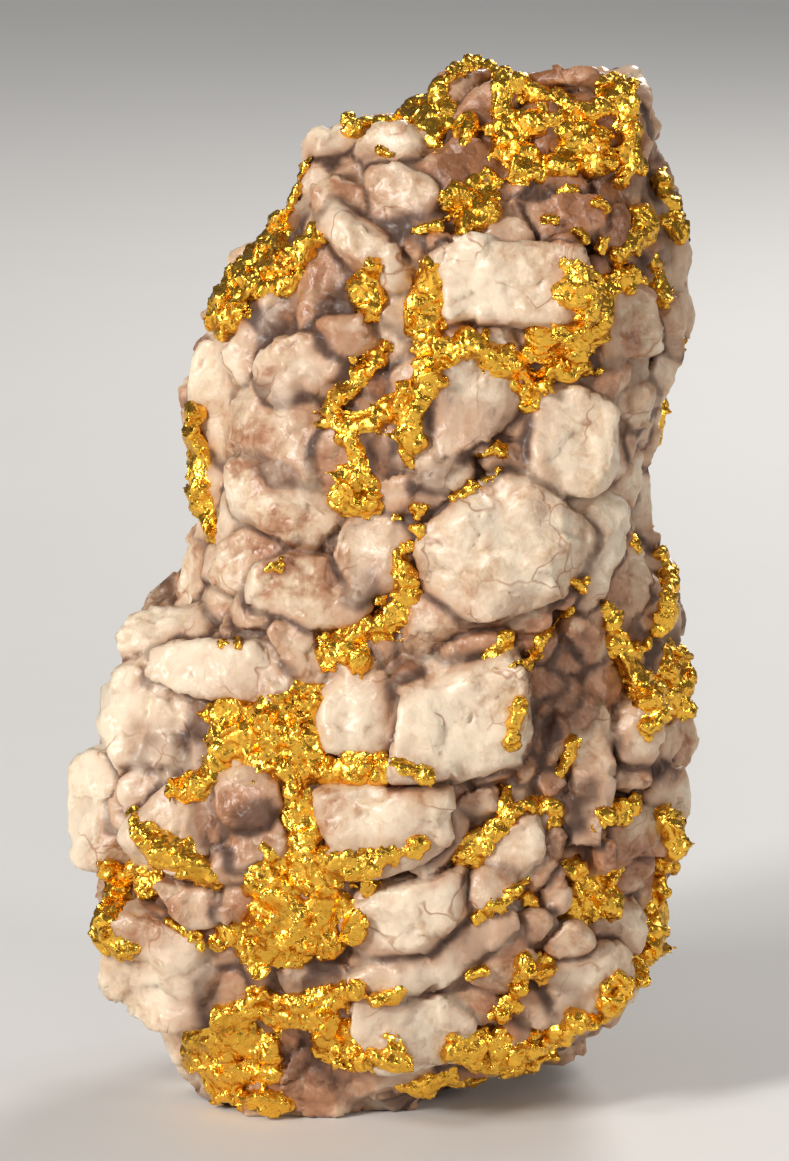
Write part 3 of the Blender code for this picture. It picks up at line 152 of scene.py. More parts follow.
LOWER_BLOCKS = [
    (-30.5, 33.0, 6.6, 8.6, 8, 2.2), (-23.0, 31.5, 7.2, 5.6, -14, 2.2), (-19.2, 32.2, 3.6, 3.2, 0, 1.6),
    (-15.4, 33.4, 4.8, 4.6, 0, 2.0), (-16.0, 29.6, 5.0, 4.2, 12, 1.8), (-17.6, 26.9, 3.6, 2.8, -12, 1.4),
    (-1.0, 31.8, 10.6, 7.0, 10, 2.6), (-20.6, 23.6, 6.4, 3.4, -36, 1.2), (-16.8, 23.6, 4.0, 4.0, 0, 1.0),
    (-25.2, 20.6, 5.0, 4.4, 0, 1.4), (-31.8, 24.2, 2.4, 3.6, 0, 0.8), (-22.8, 15.5, 11.6, 8.4, -24, 2.6),
    (-19.4, 13.4, 5.0, 4.8, -10, 1.6), (-23.6, 10.8, 4.6, 2.4, -24, 0.8), (2.6, 22.0, 10.6, 6.2, 20, 2.6),
    (5.0, 17.4, 15.0, 3.6, 28, 2.0), (-1.4, 17.0, 3.4, 3.2, 0, 1.0), (10.5, 18.2, 5.0, 5.4, 20, 1.8),
    (13.6, 20.8, 2.6, 4.4, -34, 1.4), (10.6, 24.6, 3.4, 3.6, 0, 2.0), (17.2, 19.2, 3.6, 3.0, 0, 1.8),
    (18.8, 14.2, 7.4, 6.6, 12, 2.8), (14.8, 12.8, 4.2, 3.4, -10, 1.4), (22.6, 18.6, 4.8, 5.0, -30, 2.0),
    (25.0, 16.8, 2.6, 3.6, -20, 1.0), (2.6, 9.7, 8.8, 6.4, -4, 2.8), (7.8, 12.6, 4.8, 3.6, 12, 1.4),
    (12.2, 9.8, 2.6, 3.2, 0, 1.2), (-1.4, 10.6, 3.0, 3.6, 20, 1.0), (-9.2, 2.8, 8.4, 3.6, 4, 1.2),
    (-0.6, 4.0, 8.4, 2.8, 6, 1.2), (9.2, 4.6, 6.0, 2.2, 14, 1.0), (17.4, 7.4, 4.8, 2.4, 26, 1.2),
    (22.6, 12.4, 2.6, 3.2, -20, 0.6), (1.2, 14.9, 5.0, 2.2, 16, 0.8), (-12.2, 11.2, 3.0, 1.8, 0, 0.4),
]
FACE_BLOCKS = TOP_BLOCKS + UPPER_BLOCKS + MIDDLE_BLOCKS + RIGHT_BLOCKS + LOWER_BLOCKS

# Gold masses: each is a list of strokes, and each stroke a run of (u, v, half-width), with the depth
# from the middle plane as a fourth number where the gold stands off the edge of the quartz.
GOLD = {
    "gold_wing": [
        [(-9.0, 98.4, 0.6, -2), (-10.0, 96.2, 0.6, -2), (-10.4, 94.4, 0.8, -3), (-11.8, 92.2, 1.2, -4),
         (-14.1, 90.2, 1.5, -4), (-16.0, 88.0, 1.6, -5), (-17.6, 85.4, 1.6, -6), (-18.2, 83.1, 1.4, -6),
         (-18.2, 81.8, 0.8, -6)],
        [(-11.8, 92.0, 1.3, -5), (-12.0, 88.8, 1.9, -9), (-11.8, 86.8, 1.5, -10.5)],
        [(-15.0, 88.6, 1.8, -5), (-15.2, 86.0, 2.1, -7.4), (-16.8, 83.6, 1.6, -8)],
        [(-14.0, 89.8, 1.6, -5), (-12.8, 87.4, 1.8, -9), (-14.4, 85.8, 1.6, -8)],
        [(-10.8, 87.6, 1.1), (-9.2, 88.4, 1.2), (-8.6, 90.4, 1.1), (-7.4, 91.4, 0.9)],
    ],
    "gold_crown": [
        [(-4.4, 102.4, 0.7, -1), (-2.2, 103.2, 0.9, -1), (0.0, 103.6, 1.1, -1), (2.2, 104.6, 1.4, -2),
         (4.3, 105.6, 1.2, -2), (5.6, 107.0, 1.0, -1), (6.9, 108.4, 1.0, -1), (8.6, 108.9, 1.1, -1),
         (10.2, 108.4, 1.1, -1), (11.2, 107.2, 1.1, -3)],
        [(1.6, 103.4, 1.1, -4), (3.4, 103.2, 1.6, -4), (4.2, 101.2, 1.4, -7)],
        [(5.0, 104.2, 1.3, -3), (6.6, 103.2, 1.5, -5), (7.4, 101.4, 1.4, -8)],
        [(11.2, 107.0, 1.1, -3), (13.6, 105.7, 1.1, -4), (16.2, 105.1, 1.1, -5), (18.2, 104.2, 1.4, -6),
         (20.2, 103.8, 1.6, -6), (22.0, 104.8, 1.9, -4), (22.7, 106.6, 2.1, -2)],
        [(23.4, 104.2, 1.8, -4), (24.4, 102.4, 1.7, -5), (24.6, 100.6, 1.5, -6)],
        [(24.2, 100.8, 1.7), (24.0, 98.8, 1.7), (23.4, 97.0, 1.3)],
        [(11.0, 106.0, 1.0, -4), (10.8, 103.6, 1.1, -6)],
        [(10.8, 103.4, 1.1), (10.6, 101.6, 1.3), (10.6, 99.8, 1.2), (11.0, 98.0, 1.3), (13.6, 97.6, 1.3),
         (16.4, 98.4, 1.2), (19.0, 98.6, 1.0), (22.6, 98.6, 1.1)],
        [(10.8, 102.2, 1.1), (13.4, 102.6, 1.1), (16.6, 102.6, 1.1), (18.9, 102.4, 1.6), (20.4, 101.2, 1.4)],
        [(19.4, 101.4, 1.4), (19.6, 99.6, 0.9)],
        [(12.0, 99.8, 1.0), (14.0, 99.4, 0.8)],
        [(10.4, 97.4, 1.2), (9.2, 96.2, 1.4), (8.0, 95.0, 1.8), (7.4, 93.4, 1.6), (9.2, 93.2, 1.2)],
        [(6.8, 92.4, 1.0), (5.2, 91.4, 0.9), (2.6, 91.1, 0.8)],
    ],
    "gold_upper_left": [
        [(-2.2, 87.6, 1.3), (-2.8, 86.4, 1.7), (-2.8, 84.6, 1.6), (-2.7, 82.9, 1.2)],
    ],
    "gold_top_right": [
        [(28.2, 96.8, 1.2, -3), (28.8, 95.2, 1.7, -3), (29.2, 93.4, 1.8, -3), (29.6, 92.0, 1.2, -3)],
    ],
    "gold_right_strip": [
        [(25.2, 93.6, 1.1), (25.2, 91.8, 1.4), (24.0, 90.4, 1.1), (22.8, 89.4, 0.8)],
        [(25.4, 91.4, 1.1), (26.6, 89.6, 0.9), (27.2, 87.4, 0.8), (27.3, 84.8, 0.8)],
    ],
    "gold_upper_web": [
        [(4.2, 87.6, 1.3), (3.9, 86.0, 2.0), (3.8, 83.8, 2.1), (3.7, 81.8, 1.8), (3.6, 80.0, 1.5),
         (3.6, 78.4, 1.3), (3.3, 76.6, 1.3), (2.2, 75.0, 1.4), (0.4, 73.2, 1.9), (-2.4, 72.8, 2.0),
         (-4.8, 72.4, 1.7), (-6.8, 72.0, 1.1), (-8.2, 71.0, 0.8)],
        [(4.2, 79.4, 1.4), (6.2, 79.6, 1.3), (7.8, 79.8, 1.2), (9.6, 78.6, 1.3), (11.4, 77.6, 1.5),
         (13.2, 76.9, 1.7), (15.4, 77.0, 1.8), (17.6, 77.2, 1.5), (19.4, 77.6, 1.1)],
        [(15.4, 78.4, 1.6), (14.9, 80.2, 1.6), (15.6, 81.6, 1.3)],
        [(17.8, 78.6, 1.7), (18.4, 81.4, 2.1), (18.4, 84.2, 2.1), (18.8, 86.2, 1.4)],
        [(20.2, 80.4, 1.6), (20.9, 83.2, 1.7), (20.6, 85.6, 1.6), (22.4, 86.8, 1.1), (24.4, 86.6, 0.9)],
        [(13.8, 75.4, 1.2), (13.8, 73.6, 0.8)],
        [(-1.6, 78.6, 1.3), (-3.0, 77.2, 1.4), (-4.2, 75.8, 1.2), (-5.2, 74.4, 1.1), (-5.8, 72.8, 1.2)],
        [(0.8, 72.6, 1.6), (1.8, 71.0, 1.5), (1.8, 69.6, 1.2), (1.7, 68.2, 0.9)],
        [(-4.8, 71.0, 1.2), (-4.2, 69.0, 1.0), (-3.4, 67.4, 1.7), (-4.4, 65.6, 2.0), (-4.6, 63.8, 1.8),
         (-3.0, 63.2, 1.4), (-1.4, 63.6, 1.1)],
        [(-2.8, 66.8, 1.6), (-2.0, 65.2, 1.3)],
    ],
    "gold_vein": [
        [(0.9, 59.2, 0.8), (1.0, 57.6, 1.0), (1.4, 56.0, 1.3), (1.5, 54.4, 1.4), (0.6, 52.6, 1.6),
         (-1.2, 51.2, 1.8), (-3.4, 49.8, 1.9), (-5.2, 48.8, 2.1), (-6.0, 47.4, 1.6)],
        [(-4.2, 48.4, 1.7), (-4.0, 46.8, 1.3)],
    ],
    "gold_small_right": [
        [(28.0, 58.4, 1.0, -4), (28.1, 56.4, 1.1, -4), (28.0, 54.6, 1.0, -5), (27.9, 53.0, 1.1, -5),
         (27.6, 51.2, 1.1, -5)],
    ],
    "gold_knob_right": [
        [(26.6, 46.8, 1.8, -10), (28.4, 47.2, 2.3, -7), (30.2, 47.2, 2.7, -5), (30.4, 46.0, 2.4, -5)],
        [(21.8, 52.6, 1.2), (22.8, 50.8, 1.5), (23.8, 48.8, 1.8), (23.6, 46.8, 1.5), (24.6, 45.6, 1.3)],
        [(24.6, 45.4, 1.4, -13), (26.4, 44.2, 1.8, -10), (28.2, 43.6, 2.0, -7), (30.0, 43.2, 1.7, -5)],
        [(26.8, 43.2, 1.5, -10), (26.6, 41.2, 1.4, -9)],
    ],
    "gold_lower_mass": [
        [(-17.2, 42.8, 2.2), (-14.6, 42.4, 2.4), (-11.6, 42.6, 2.5), (-8.8, 43.0, 2.5)],
        [(-17.2, 39.8, 2.0), (-14.2, 39.4, 2.3), (-11.2, 39.6, 2.5), (-8.6, 39.2, 2.1)],
        [(-18.0, 37.8, 1.8), (-18.4, 36.0, 1.7), (-20.2, 34.5, 1.6), (-22.4, 33.8, 1.1)],
        [(-12.6, 37.4, 2.2), (-10.8, 35.4, 2.6), (-10.0, 33.0, 2.7), (-9.4, 30.6, 2.5), (-9.0, 28.8, 2.0)],
        [(-8.0, 36.4, 1.6), (-5.4, 36.4, 1.6), (-2.6, 36.9, 1.5), (0.6, 36.4, 1.0), (3.2, 36.3, 0.8)],
        [(-13.2, 27.4, 1.9), (-13.6, 25.0, 2.2), (-12.8, 22.4, 2.3), (-12.6, 20.0, 2.5)],
        [(-10.6, 27.4, 2.0), (-10.8, 24.6, 2.1), (-10.2, 21.8, 2.3), (-9.6, 19.2, 2.3)],
        [(-8.2, 27.0, 1.9), (-7.4, 24.2, 1.8), (-7.4, 21.2, 2.1), (-7.2, 19.0, 1.9)],
        [(-17.4, 19.6, 2.1), (-15.6, 18.8, 2.3), (-12.8, 18.2, 2.3), (-9.8, 17.8, 2.0)],
        [(-5.4, 23.2, 1.8), (-4.2, 21.6, 1.8), (-4.4, 19.8, 1.5)],
        [(-6.8, 27.4, 1.2), (-4.4, 26.8, 1.1), (-1.8, 27.0, 1.1), (0.6, 27.8, 1.0), (3.0, 29.0, 0.8)],
        [(-4.6, 24.4, 1.2), (-2.2, 24.7, 0.9)],
    ],
    "gold_left_strip": [
        [(-26.4, 30.0, 0.8), (-25.2, 28.4, 1.3), (-23.0, 27.8, 1.6), (-21.0, 27.0, 1.7),
         (-19.4, 25.6, 1.5)],
    ],
    "gold_left_edge": [
        [(-30.8, 27.0, 0.9, -7), (-29.4, 25.8, 1.3, -10.5), (-27.2, 24.9, 1.4, -14.5),
         (-25.2, 24.0, 1.1, -17)],
        [(-28.4, 25.0, 1.4, -12), (-28.8, 24.0, 1.7, -11), (-29.2, 22.8, 2.1, -10), (-29.2, 21.2, 2.4, -10),
         (-29.4, 19.4, 2.2, -8), (-28.4, 18.2, 1.6, -9)],
    ],
    "gold_base_left": [
        [(-20.2, 8.8, 2.2), (-17.6, 8.8, 2.5), (-15.0, 8.4, 2.4), (-13.2, 7.4, 1.8)],
        [(-20.2, 5.6, 2.0), (-17.6, 5.0, 2.3), (-14.8, 4.6, 2.2), (-12.8, 4.4, 1.5)],
        [(-19.2, 3.4, 1.3), (-17.0, 2.3, 1.4), (-14.2, 1.7, 1.2), (-11.6, 1.5, 0.9)],
        [(-17.2, 10.6, 1.6), (-15.6, 11.8, 1.4), (-13.4, 12.5, 1.3), (-10.6, 12.8, 1.0), (-7.8, 12.6, 1.3),
         (-5.6, 12.9, 1.4), (-3.6, 13.9, 0.9)],
        [(-12.2, 10.6, 1.3), (-10.0, 10.2, 1.3), (-7.6, 11.2, 1.6), (-5.6, 10.4, 1.9), (-5.2, 8.2, 2.0),
         (-3.4, 7.2, 1.7), (-1.0, 6.8, 1.2), (1.4, 6.0, 0.8)],
        [(-7.4, 8.8, 1.6), (-7.0, 7.2, 1.2)],
    ],
    "gold_base_front": [
        [(0.8, 2.9, 1.0), (3.0, 3.3, 1.3), (5.0, 4.3, 1.1), (7.2, 3.7, 0.8), (9.6, 4.0, 0.7)],
    ],
    "gold_base_right": [
        [(6.8, 7.6, 1.6), (9.2, 7.4, 1.8), (11.8, 7.2, 1.9), (14.4, 8.4, 1.9), (17.0, 9.4, 1.5),
         (19.2, 10.4, 1.0)],
        [(11.6, 5.4, 1.0), (14.2, 6.2, 1.2), (16.8, 7.2, 1.1)],
    ],
    "gold_hook": [
        [(15.2, 15.8, 1.5), (13.8, 16.4, 1.4), (13.2, 14.8, 0.9), (12.2, 13.4, 0.9), (11.2, 12.2, 1.3),
         (9.8, 10.8, 0.9)],
    ],
    "gold_square_patch": [
        [(18.6, 26.4, 1.0), (18.4, 24.4, 1.4), (18.2, 22.2, 1.6)],
        [(20.4, 25.2, 1.6), (22.2, 25.4, 1.4)],
        [(20.4, 22.6, 2.2), (22.2, 22.6, 1.6)],
        [(18.8, 21.2, 1.4), (21.0, 20.9, 1.4)],
    ],
    "gold_patch_right": [
        [(21.2, 31.4, 1.4), (22.6, 31.9, 1.6), (24.4, 32.5, 1.3)],
    ],
    "gold_net": [
        [(6.8, 27.6, 1.4), (8.2, 28.3, 1.6), (9.6, 29.4, 1.1), (11.0, 30.6, 0.8)],
    ],
    "gold_right_rim": [
        [(28.0, 31.8, 0.9, -8), (28.8, 29.4, 1.3, -7), (28.5, 27.0, 1.4, -7), (27.6, 24.2, 1.5, -8),
         (27.6, 21.4, 1.6, -8), (26.7, 19.2, 1.6, -8), (26.0, 17.0, 1.2, -7), (24.6, 14.4, 1.1, -6)],
        [(24.6, 14.4, 1.1), (23.2, 12.2, 1.0), (21.4, 10.4, 0.9)],
    ],
}
# Gold masses on the other sides, drawn as seen when the specimen is turned by the given degrees.
TURNED_GOLD = {
    "gold_back_upper": (180.0, [
        [(-6.0, 86.0, 1.8), (-8.4, 82.0, 2.6), (-7.0, 78.0, 2.4), (-3.2, 75.0, 2.2), (0.6, 73.0, 1.6)],
        [(-8.4, 82.0, 1.8), (-12.0, 81.0, 1.4)],
    ]),
    "gold_back_middle": (180.0, [
        [(12.6, 60.0, 1.2), (9.0, 58.0, 1.8), (6.4, 55.0, 2.0), (6.0, 51.6, 1.6), (8.4, 49.2, 1.2)],
    ]),
    "gold_back_lower": (180.0, [
        [(-20.0, 38.0, 1.6), (-16.0, 36.0, 2.4), (-12.0, 34.0, 2.8), (-8.0, 31.0, 2.4), (-4.6, 27.0, 1.8)],
        [(-12.0, 34.0, 1.8), (-12.6, 28.6, 2.0), (-15.0, 24.6, 1.6)],
    ]),
    "gold_side_left": (-90.0, [
        [(6.0, 70.0, 1.2), (3.6, 66.6, 1.8), (4.4, 62.6, 1.8), (8.0, 59.0, 1.4)],
    ]),
    "gold_side_right": (90.0, [
        [(-2.0, 76.0, 1.3), (2.0, 73.0, 2.0), (4.6, 69.0, 1.8), (3.6, 64.6, 1.3)],
    ]),
}
# Gold that has no solid, in groups of strokes of (u, v, half-width): the first group fills the middle
# of the square patch, the others are veinlets and specks.
VEINLETS = [
    [[(19.6, 24.3, 1.5), (21.4, 24.2, 1.5), (22.0, 22.4, 1.4), (20.0, 22.0, 1.6), (18.8, 22.8, 1.4)]],
    [[(9.2, 68.8, 0.6), (10.6, 68.9, 0.7), (11.1, 67.6, 0.7), (10.2, 66.4, 0.6), (8.8, 65.6, 0.5),
      (7.2, 65.0, 0.4), (5.8, 64.4, 0.5)]],
    [[(0.2, 62.4, 0.6), (0.6, 62.2, 0.4)], [(2.4, 63.0, 0.4), (2.8, 63.1, 0.4)],
     [(2.2, 60.9, 0.7), (2.5, 60.4, 0.5)]],
    [[(18.2, 55.8, 0.8), (18.8, 55.4, 0.9)]],
    [[(18.3, 53.2, 0.4), (17.0, 51.8, 0.5), (15.5, 50.5, 0.5), (14.7, 49.0, 0.5), (13.3, 46.7, 0.5)],
     [(15.4, 48.4, 0.4), (14.0, 47.6, 0.4), (12.2, 46.8, 0.4)]],
    [[(11.2, 49.6, 0.8), (10.6, 48.4, 0.9), (9.8, 48.0, 0.5)]],
    [[(24.6, 60.0, 0.5), (24.8, 59.4, 0.5)]],
    [[(-11.2, 57.6, 0.4), (-11.9, 57.2, 0.5), (-13.0, 56.8, 0.3)]],
    [[(-17.7, 49.4, 0.4), (-17.3, 49.2, 0.3)], [(-16.2, 49.5, 0.4), (-15.9, 49.1, 0.3)]],
    [[(8.0, 21.0, 0.4), (10.0, 22.3, 0.5), (12.0, 24.0, 0.5), (13.6, 25.1, 0.5)],
     [(13.4, 23.6, 0.8), (14.0, 22.9, 0.8)]],
    [[(22.8, 15.2, 0.4), (22.0, 13.8, 0.4), (21.3, 11.8, 0.4), (22.0, 11.0, 0.4), (23.5, 12.2, 0.4)],
     [(23.0, 15.0, 0.4), (24.0, 14.0, 0.4), (24.3, 13.0, 0.4)]],
    [[(11.2, 30.8, 0.6), (12.6, 32.2, 0.6), (14.4, 33.0, 0.7), (16.4, 32.3, 0.8), (16.3, 30.8, 0.7)],
     [(11.7, 34.5, 0.4), (11.0, 32.8, 0.4), (10.7, 31.5, 0.4)]],
    [[(12.6, 43.4, 0.6), (12.3, 41.4, 0.8), (12.0, 39.2, 0.6)]],
    [[(18.3, 39.6, 0.4), (17.8, 37.8, 0.6), (17.2, 36.2, 0.4)]],
    [[(7.8, 15.2, 0.6), (8.8, 15.6, 0.5)]],
    [[(-0.8, 13.1, 0.7), (0.2, 13.3, 0.7), (-2.2, 12.6, 0.4)]],
    [[(-27.0, 31.6, 0.4), (-26.6, 30.4, 0.4), (-26.2, 29.4, 0.4)]],
    [[(-23.2, 20.6, 0.4), (-21.6, 19.4, 0.5), (-20.0, 18.4, 0.5)]],
    [[(-1.6, 100.0, 0.5), (-1.0, 99.8, 0.5)]],
    [[(15.6, 92.6, 0.5), (16.6, 92.4, 0.4)], [(18.6, 91.4, 0.4), (19.6, 91.0, 0.5)],
     [(20.4, 94.4, 0.5), (21.4, 94.0, 0.4)], [(17.2, 95.4, 0.5), (18.4, 95.6, 0.4)],
     [(21.4, 90.6, 0.4), (21.0, 89.6, 0.4)]],
]

# Blocks
FACING = 0.9                   # pull of a drawn block towards the viewer, against 1 for its own way out
DEPTH_SHARE, DEPTH_ADDED = 0.7, 3.0   # a block's depth: a share of its smaller side, and more
BLOCK_SWELL = 1.14             # a drawn block's size over its drawn size, before it is chipped
CHIPS = 13                     # planes that chip a block's edges and corners
CHIP_SPREAD = 0.3              # how far they turn from the even directions
CHIP_LEAST = 1.15              # length of a direction below which it is too close to a side's own
CHIP_DISTANCE = (0.63, 0.84)   # where they cut, from the middle of the block to its corner
CORNER_REACH = (1.04, 1.32)    # distance of a corner's cut in the unit cube: 1 touches the sides
CORNER_TURN = 0.28             # how far it turns from the diagonal, in radians
CORNER_RISE = (-0.2, 0.35)     # how much it faces outward
GROWN = 1.15                   # how far a block has grown sideways into its neighbours
FULLY_GROWN = 7.0              # a block narrower than this has grown less
SHARPNESS = (3.2, 5.6)         # of a block's edges, by a block of its own
REACH = 1.6                    # how far outside a block its distance is worked out
FAR = 5.0                      # distance noted where no block is near

# Rows of plain blocks that clothe the ground mass where nothing is drawn
FILL_HEIGHTS = (5.0, 103.0)    # lowest and highest row
FILL_ROW = 7.4                 # height between rows
FILL_STEP = 8.0                # distance along a row
FILL_FEWEST = 6                # blocks in a row
FILL_STRAY = (0.3, 2.0)        # from its place in the row: share of a step along, height
FILL_WIDTH = (5.5, 10.5)
FILL_HEIGHT = (4.5, 8.5)
FILL_TILT = (-16.0, 34.0)
FILL_STAND_OUT = (-0.4, 1.4)
SEEN = 0.12                    # forward part of the outward way that makes the face
FACE_SHRINK = 0.58             # blocks between the drawn ones are this much smaller
CLEAR_OF_GOLD = 1.6            # from the edge of drawn gold to the middle of such a block
BACK_GROWTH = 1.45             # blocks behind are this much larger
BACK_STAND_OUT = (0.0, 3.2)
SIDE_STAND_OUT = (-0.6, 0.8)   # on the flanks, which the drawing shows edge on
BACKWARD = 0.3                 # backward part of the outward way that makes the back
FLANK = 0.55                   # sideways part of the outward way that makes a flank

# Pebbles: small blocks packed between the others
PEBBLES = 1900                 # places tried
PEBBLE_HEIGHTS = (1.0, 106.0)
PEBBLE_SIZE = (2.4, 6.4)
PEBBLE_DEPTH_ADDED = 1.5
PEBBLE_STAND_OUT = (-1.0, 0.7)
PEBBLE_SUNK = 0.5              # how much deeper they lie on the face
PEBBLE_CHIPS = 9
PEBBLE_SHARPNESS = (4.0, 7.0)
BURIED = -0.7                  # one is left out where its tip lies deeper than this

# The quartz's surface. Waves are (wavelength, number of the seed, amount).
WARPS = ((8.0, 10, 0.75), (3.0, 20, 0.28))          # bend the faces of the blocks
GROUND_WAVES = ((4.5, 33, 0.35), (2.2, 36, 0.22))
BLEND_WAVES = (9.0, 34, 1.0)
BLEND, BLEND_VARIES, BLEND_MOST = 0.8, 0.9, 2.4     # width over which neighbours run together
FLOWS = ((-14.0, 66.0, 7.0, 15.0), (-6.5, 92.0, 8.0, 7.0))   # x, z, width, height of flowing quartz
FLOW_BLEND = 1.2               # added to the blend there
FLOW_BEHIND = 4.0              # y where the flowing quartz ends
FLOW_CLOSES = 0.5              # share by which it closes the cracks
CRACK_WAVES = (7.0, 31, 0.25)
CRACK_DEPTH, CRACK_LIMITS = 0.38, (0.05, 0.9)
CRACK_WIDTH = 0.62
OUTLINE_ROOM = 0.95            # how far the grown blocks may pass the plain ones, seen edge on
FACE_ROOM = 1.4                # and more of it where they face the front or the back
TOP_HEIGHT, TOP_FADE = 105.0, 6.0    # but not from here up, fading out over the height below
TOP_V = 108.7                  # highest v of the quartz, give or take its waves
TOP_WAVES = (4.5, 35, 0.5)
QUARTZ_CHIPS = ((4.2, 0.13, 0.3), (1.7, 0.085, 0.3))   # size, slope and most height of flat chips
GRAIN, GRAIN_HEIGHT = 0.9, 0.05
SETTLING = 0.7                 # share of the way a point of the skin is moved onto the field's zero
FOOT_HEIGHT = 0.3              # the surface is plain below it
OVERHANG = 0.7                 # share kept of what passes the box of the solids
WHITE_FROM = 22.0              # width times height of a drawn block from which it is whiter than most
WHITENESS = (-0.6, 0.9)        # least and most by which its size changes a block's tone
OWN_TONE = 0.4                 # share of chance in a drawn block's tone

# Gold
GOLD_CELL = 0.22               # size of the cells of its grids
GOLD_ROOM = 4.0                # room round a mass
GOLD_FAR = 2.0                 # distance noted where no gold is near
GOLD_BLEND = 0.16
GOLD_ROOTED = 1.3              # how deep it goes into the quartz
GOLD_LOWEST = 0.3              # it stays this far above the floor
GOLD_CHIPS = ((2.0, 0.22, 0.25), (0.95, 0.08, 0.06))
MARK_SPACING = 0.4             # distance between marks over half their width
EVENING = 3                    # passes that even out the depth of a gold stroke
SIGHT_LENGTH, SIGHT_STEP = 45.0, 0.25   # of the lines of sight, before and behind the middle plane
SIGHT_PULL = 0.8               # pull of the gold's way out towards the viewer
MISSED_SHARE = 0.5             # share of the way to the quartz, for a line of sight that misses it
EDGE_INSET = 0.5               # how far gold seen edge on is set in from its solid
EDGE_DEPTH = 0.2               # and how deep it starts in the quartz
THICK = 1.2                    # half-width from which gold is sunk, by SUNK of what is over it
SUNK = 0.55
# The forms along a stroke: a nugget, a lump and two leaves at each mark. Widths are shares of the
# mark's half-width, ovals shares of the form's width, strays sideways and outward shares of the
# half-width, and leans are in radians.
NUGGET_WIDTH, NUGGET_OVAL = (0.92, 1.18), (0.75, 1.0)
NUGGET_STRAY, NUGGET_LEAN = (0.2, 0.12), 0.35
NUGGET_HEIGHT = (0.55, 0.5)    # share of the half-width, and more
LUMP_WIDTH, LUMP_LEAST, LUMP_OVAL, LUMP_HEIGHT = (0.26, 0.5), 0.34, (0.6, 1.0), (0.5, 0.8)
LUMP_STRAY, LUMP_LEAN = (0.8, 0.5), 1.2
LEAVES = 2
LEAF_WIDTH, LEAF_LEAST, LEAF_OVAL, LEAF_HEIGHT = (0.35, 0.8), 0.5, (0.5, 1.0), (0.16, 0.26)
LEAF_STRAY, LEAF_LEAN = (0.9, 0.6), 1.25
FOLDS = ((3.4, -0.75), (1.6, 0.32), (0.85, -0.07))   # wavelength and height: negative ones billow
FOLD_SHARPNESS, FOLD_MIDDLE = 1.8, 0.45
PIT_WAVELENGTH, PIT_FROM, PIT_DEPTH = 1.8, 0.8, 0.9
FULLY_FOLDED = 1.25            # half-width from which gold has its full folds
CRUMB = 120                    # a loose island of gold with fewer points is left out
CRUMB_SHARE = 0.3              # or with less than this share of the largest one's, where that is small
GOLD_HOLLOW_REACH, QUARTZ_HOLLOW_REACH = 0.7, 1.2   # over which hollows are looked for
GOLD_STAIN_REACH = 1.3         # over which the stain round the gold falls off
NEAR_GOLD, SEAM_FAR = 6.0, 6.0        # largest distances from gold and across a seam noted for the looks
NEAR_GOLD_ROOM = 4.0           # how far from gold the distance is worked out


# ---- the elevation drawing and the ground mass ----

ROWS = np.array(SECTIONS, dtype=float)


def section(z):
    """Left, right, front and back of the whole specimen at height z."""
    return [np.interp(z, ROWS[:, 0], ROWS[:, i]) for i in range(1, 5)]


def ground_section(z):
    """Left, right, front and back of the ground mass at height z."""
    inset = np.where(ROWS[:, 0] > INSET_FROM, INSET, 0.0)
    signs = (1, -1, 1, -1)
    return [np.interp(z, ROWS[:, 0], ROWS[:, i + 1] + signs[i] * inset) for i in range(4)]


def drawn(point):
    """A point's place (u, v) on the elevation drawing."""
    return point.x, point.z * math.cos(LEAN) + point.y * math.sin(LEAN) + DRAWING_BASE


def on_face(u, v):
    """The point of the specimen's front under (u, v) on the drawing."""
    y = 0.0
    for _ in range(FACE_PASSES):
        z = (v - DRAWING_BASE - y * math.sin(LEAN)) / math.cos(LEAN)
        left, right, front, back = section(z)
        reach = min(abs(u - (left + right) / 2) / ((right - left) / 2), EDGE_ON)
        depth = (1 - reach ** SECTION_POWER) ** (1 / SECTION_POWER)
        y = (front + back) / 2 - (back - front) / 2 * depth
    return Vector((u, y, z))


def fullness(point):
    """Below 1 inside the specimen, 1 on its skin."""
    left, right, front, back = section(point.z)
    across = abs(point.x - (left + right) / 2) / ((right - left) / 2)
    through = abs(point.y - (front + back) / 2) / ((back - front) / 2)
    return across ** SECTION_POWER + through ** SECTION_POWER


def outward(point):
    """Unit normal of the specimen's skin near a point."""
    step = 0.4
    slope = [fullness(point + axis * step) - fullness(point - axis * step)
             for axis in (Vector((1, 0, 0)), Vector((0, 1, 0)), Vector((0, 0, 1)))]
    return Vector(slope).normalized()


def axes_at(out, tilt):
    """Rotation whose columns run along, up and out of the face, turned by tilt degrees."""
    right = Vector((0, 0, 1)).cross(out).normalized()
    turn = Matrix.Rotation(math.radians(tilt), 3, out)
    along = turn @ right
    return Matrix((along, out.cross(along), out)).transposed()


def skin_point(angle, z):
    """The point of the specimen's skin at a height, at an angle round its middle."""
    left, right, front, back = section(z)
    c, s = math.cos(angle), math.sin(angle)
    x = (left + right) / 2 + (right - left) / 2 * math.copysign(abs(c) ** (2 / SECTION_POWER), c)
    y = (front + back) / 2 + (back - front) / 2 * math.copysign(abs(s) ** (2 / SECTION_POWER), s)
    return Vector((x, y, z))


# ---- noise ----

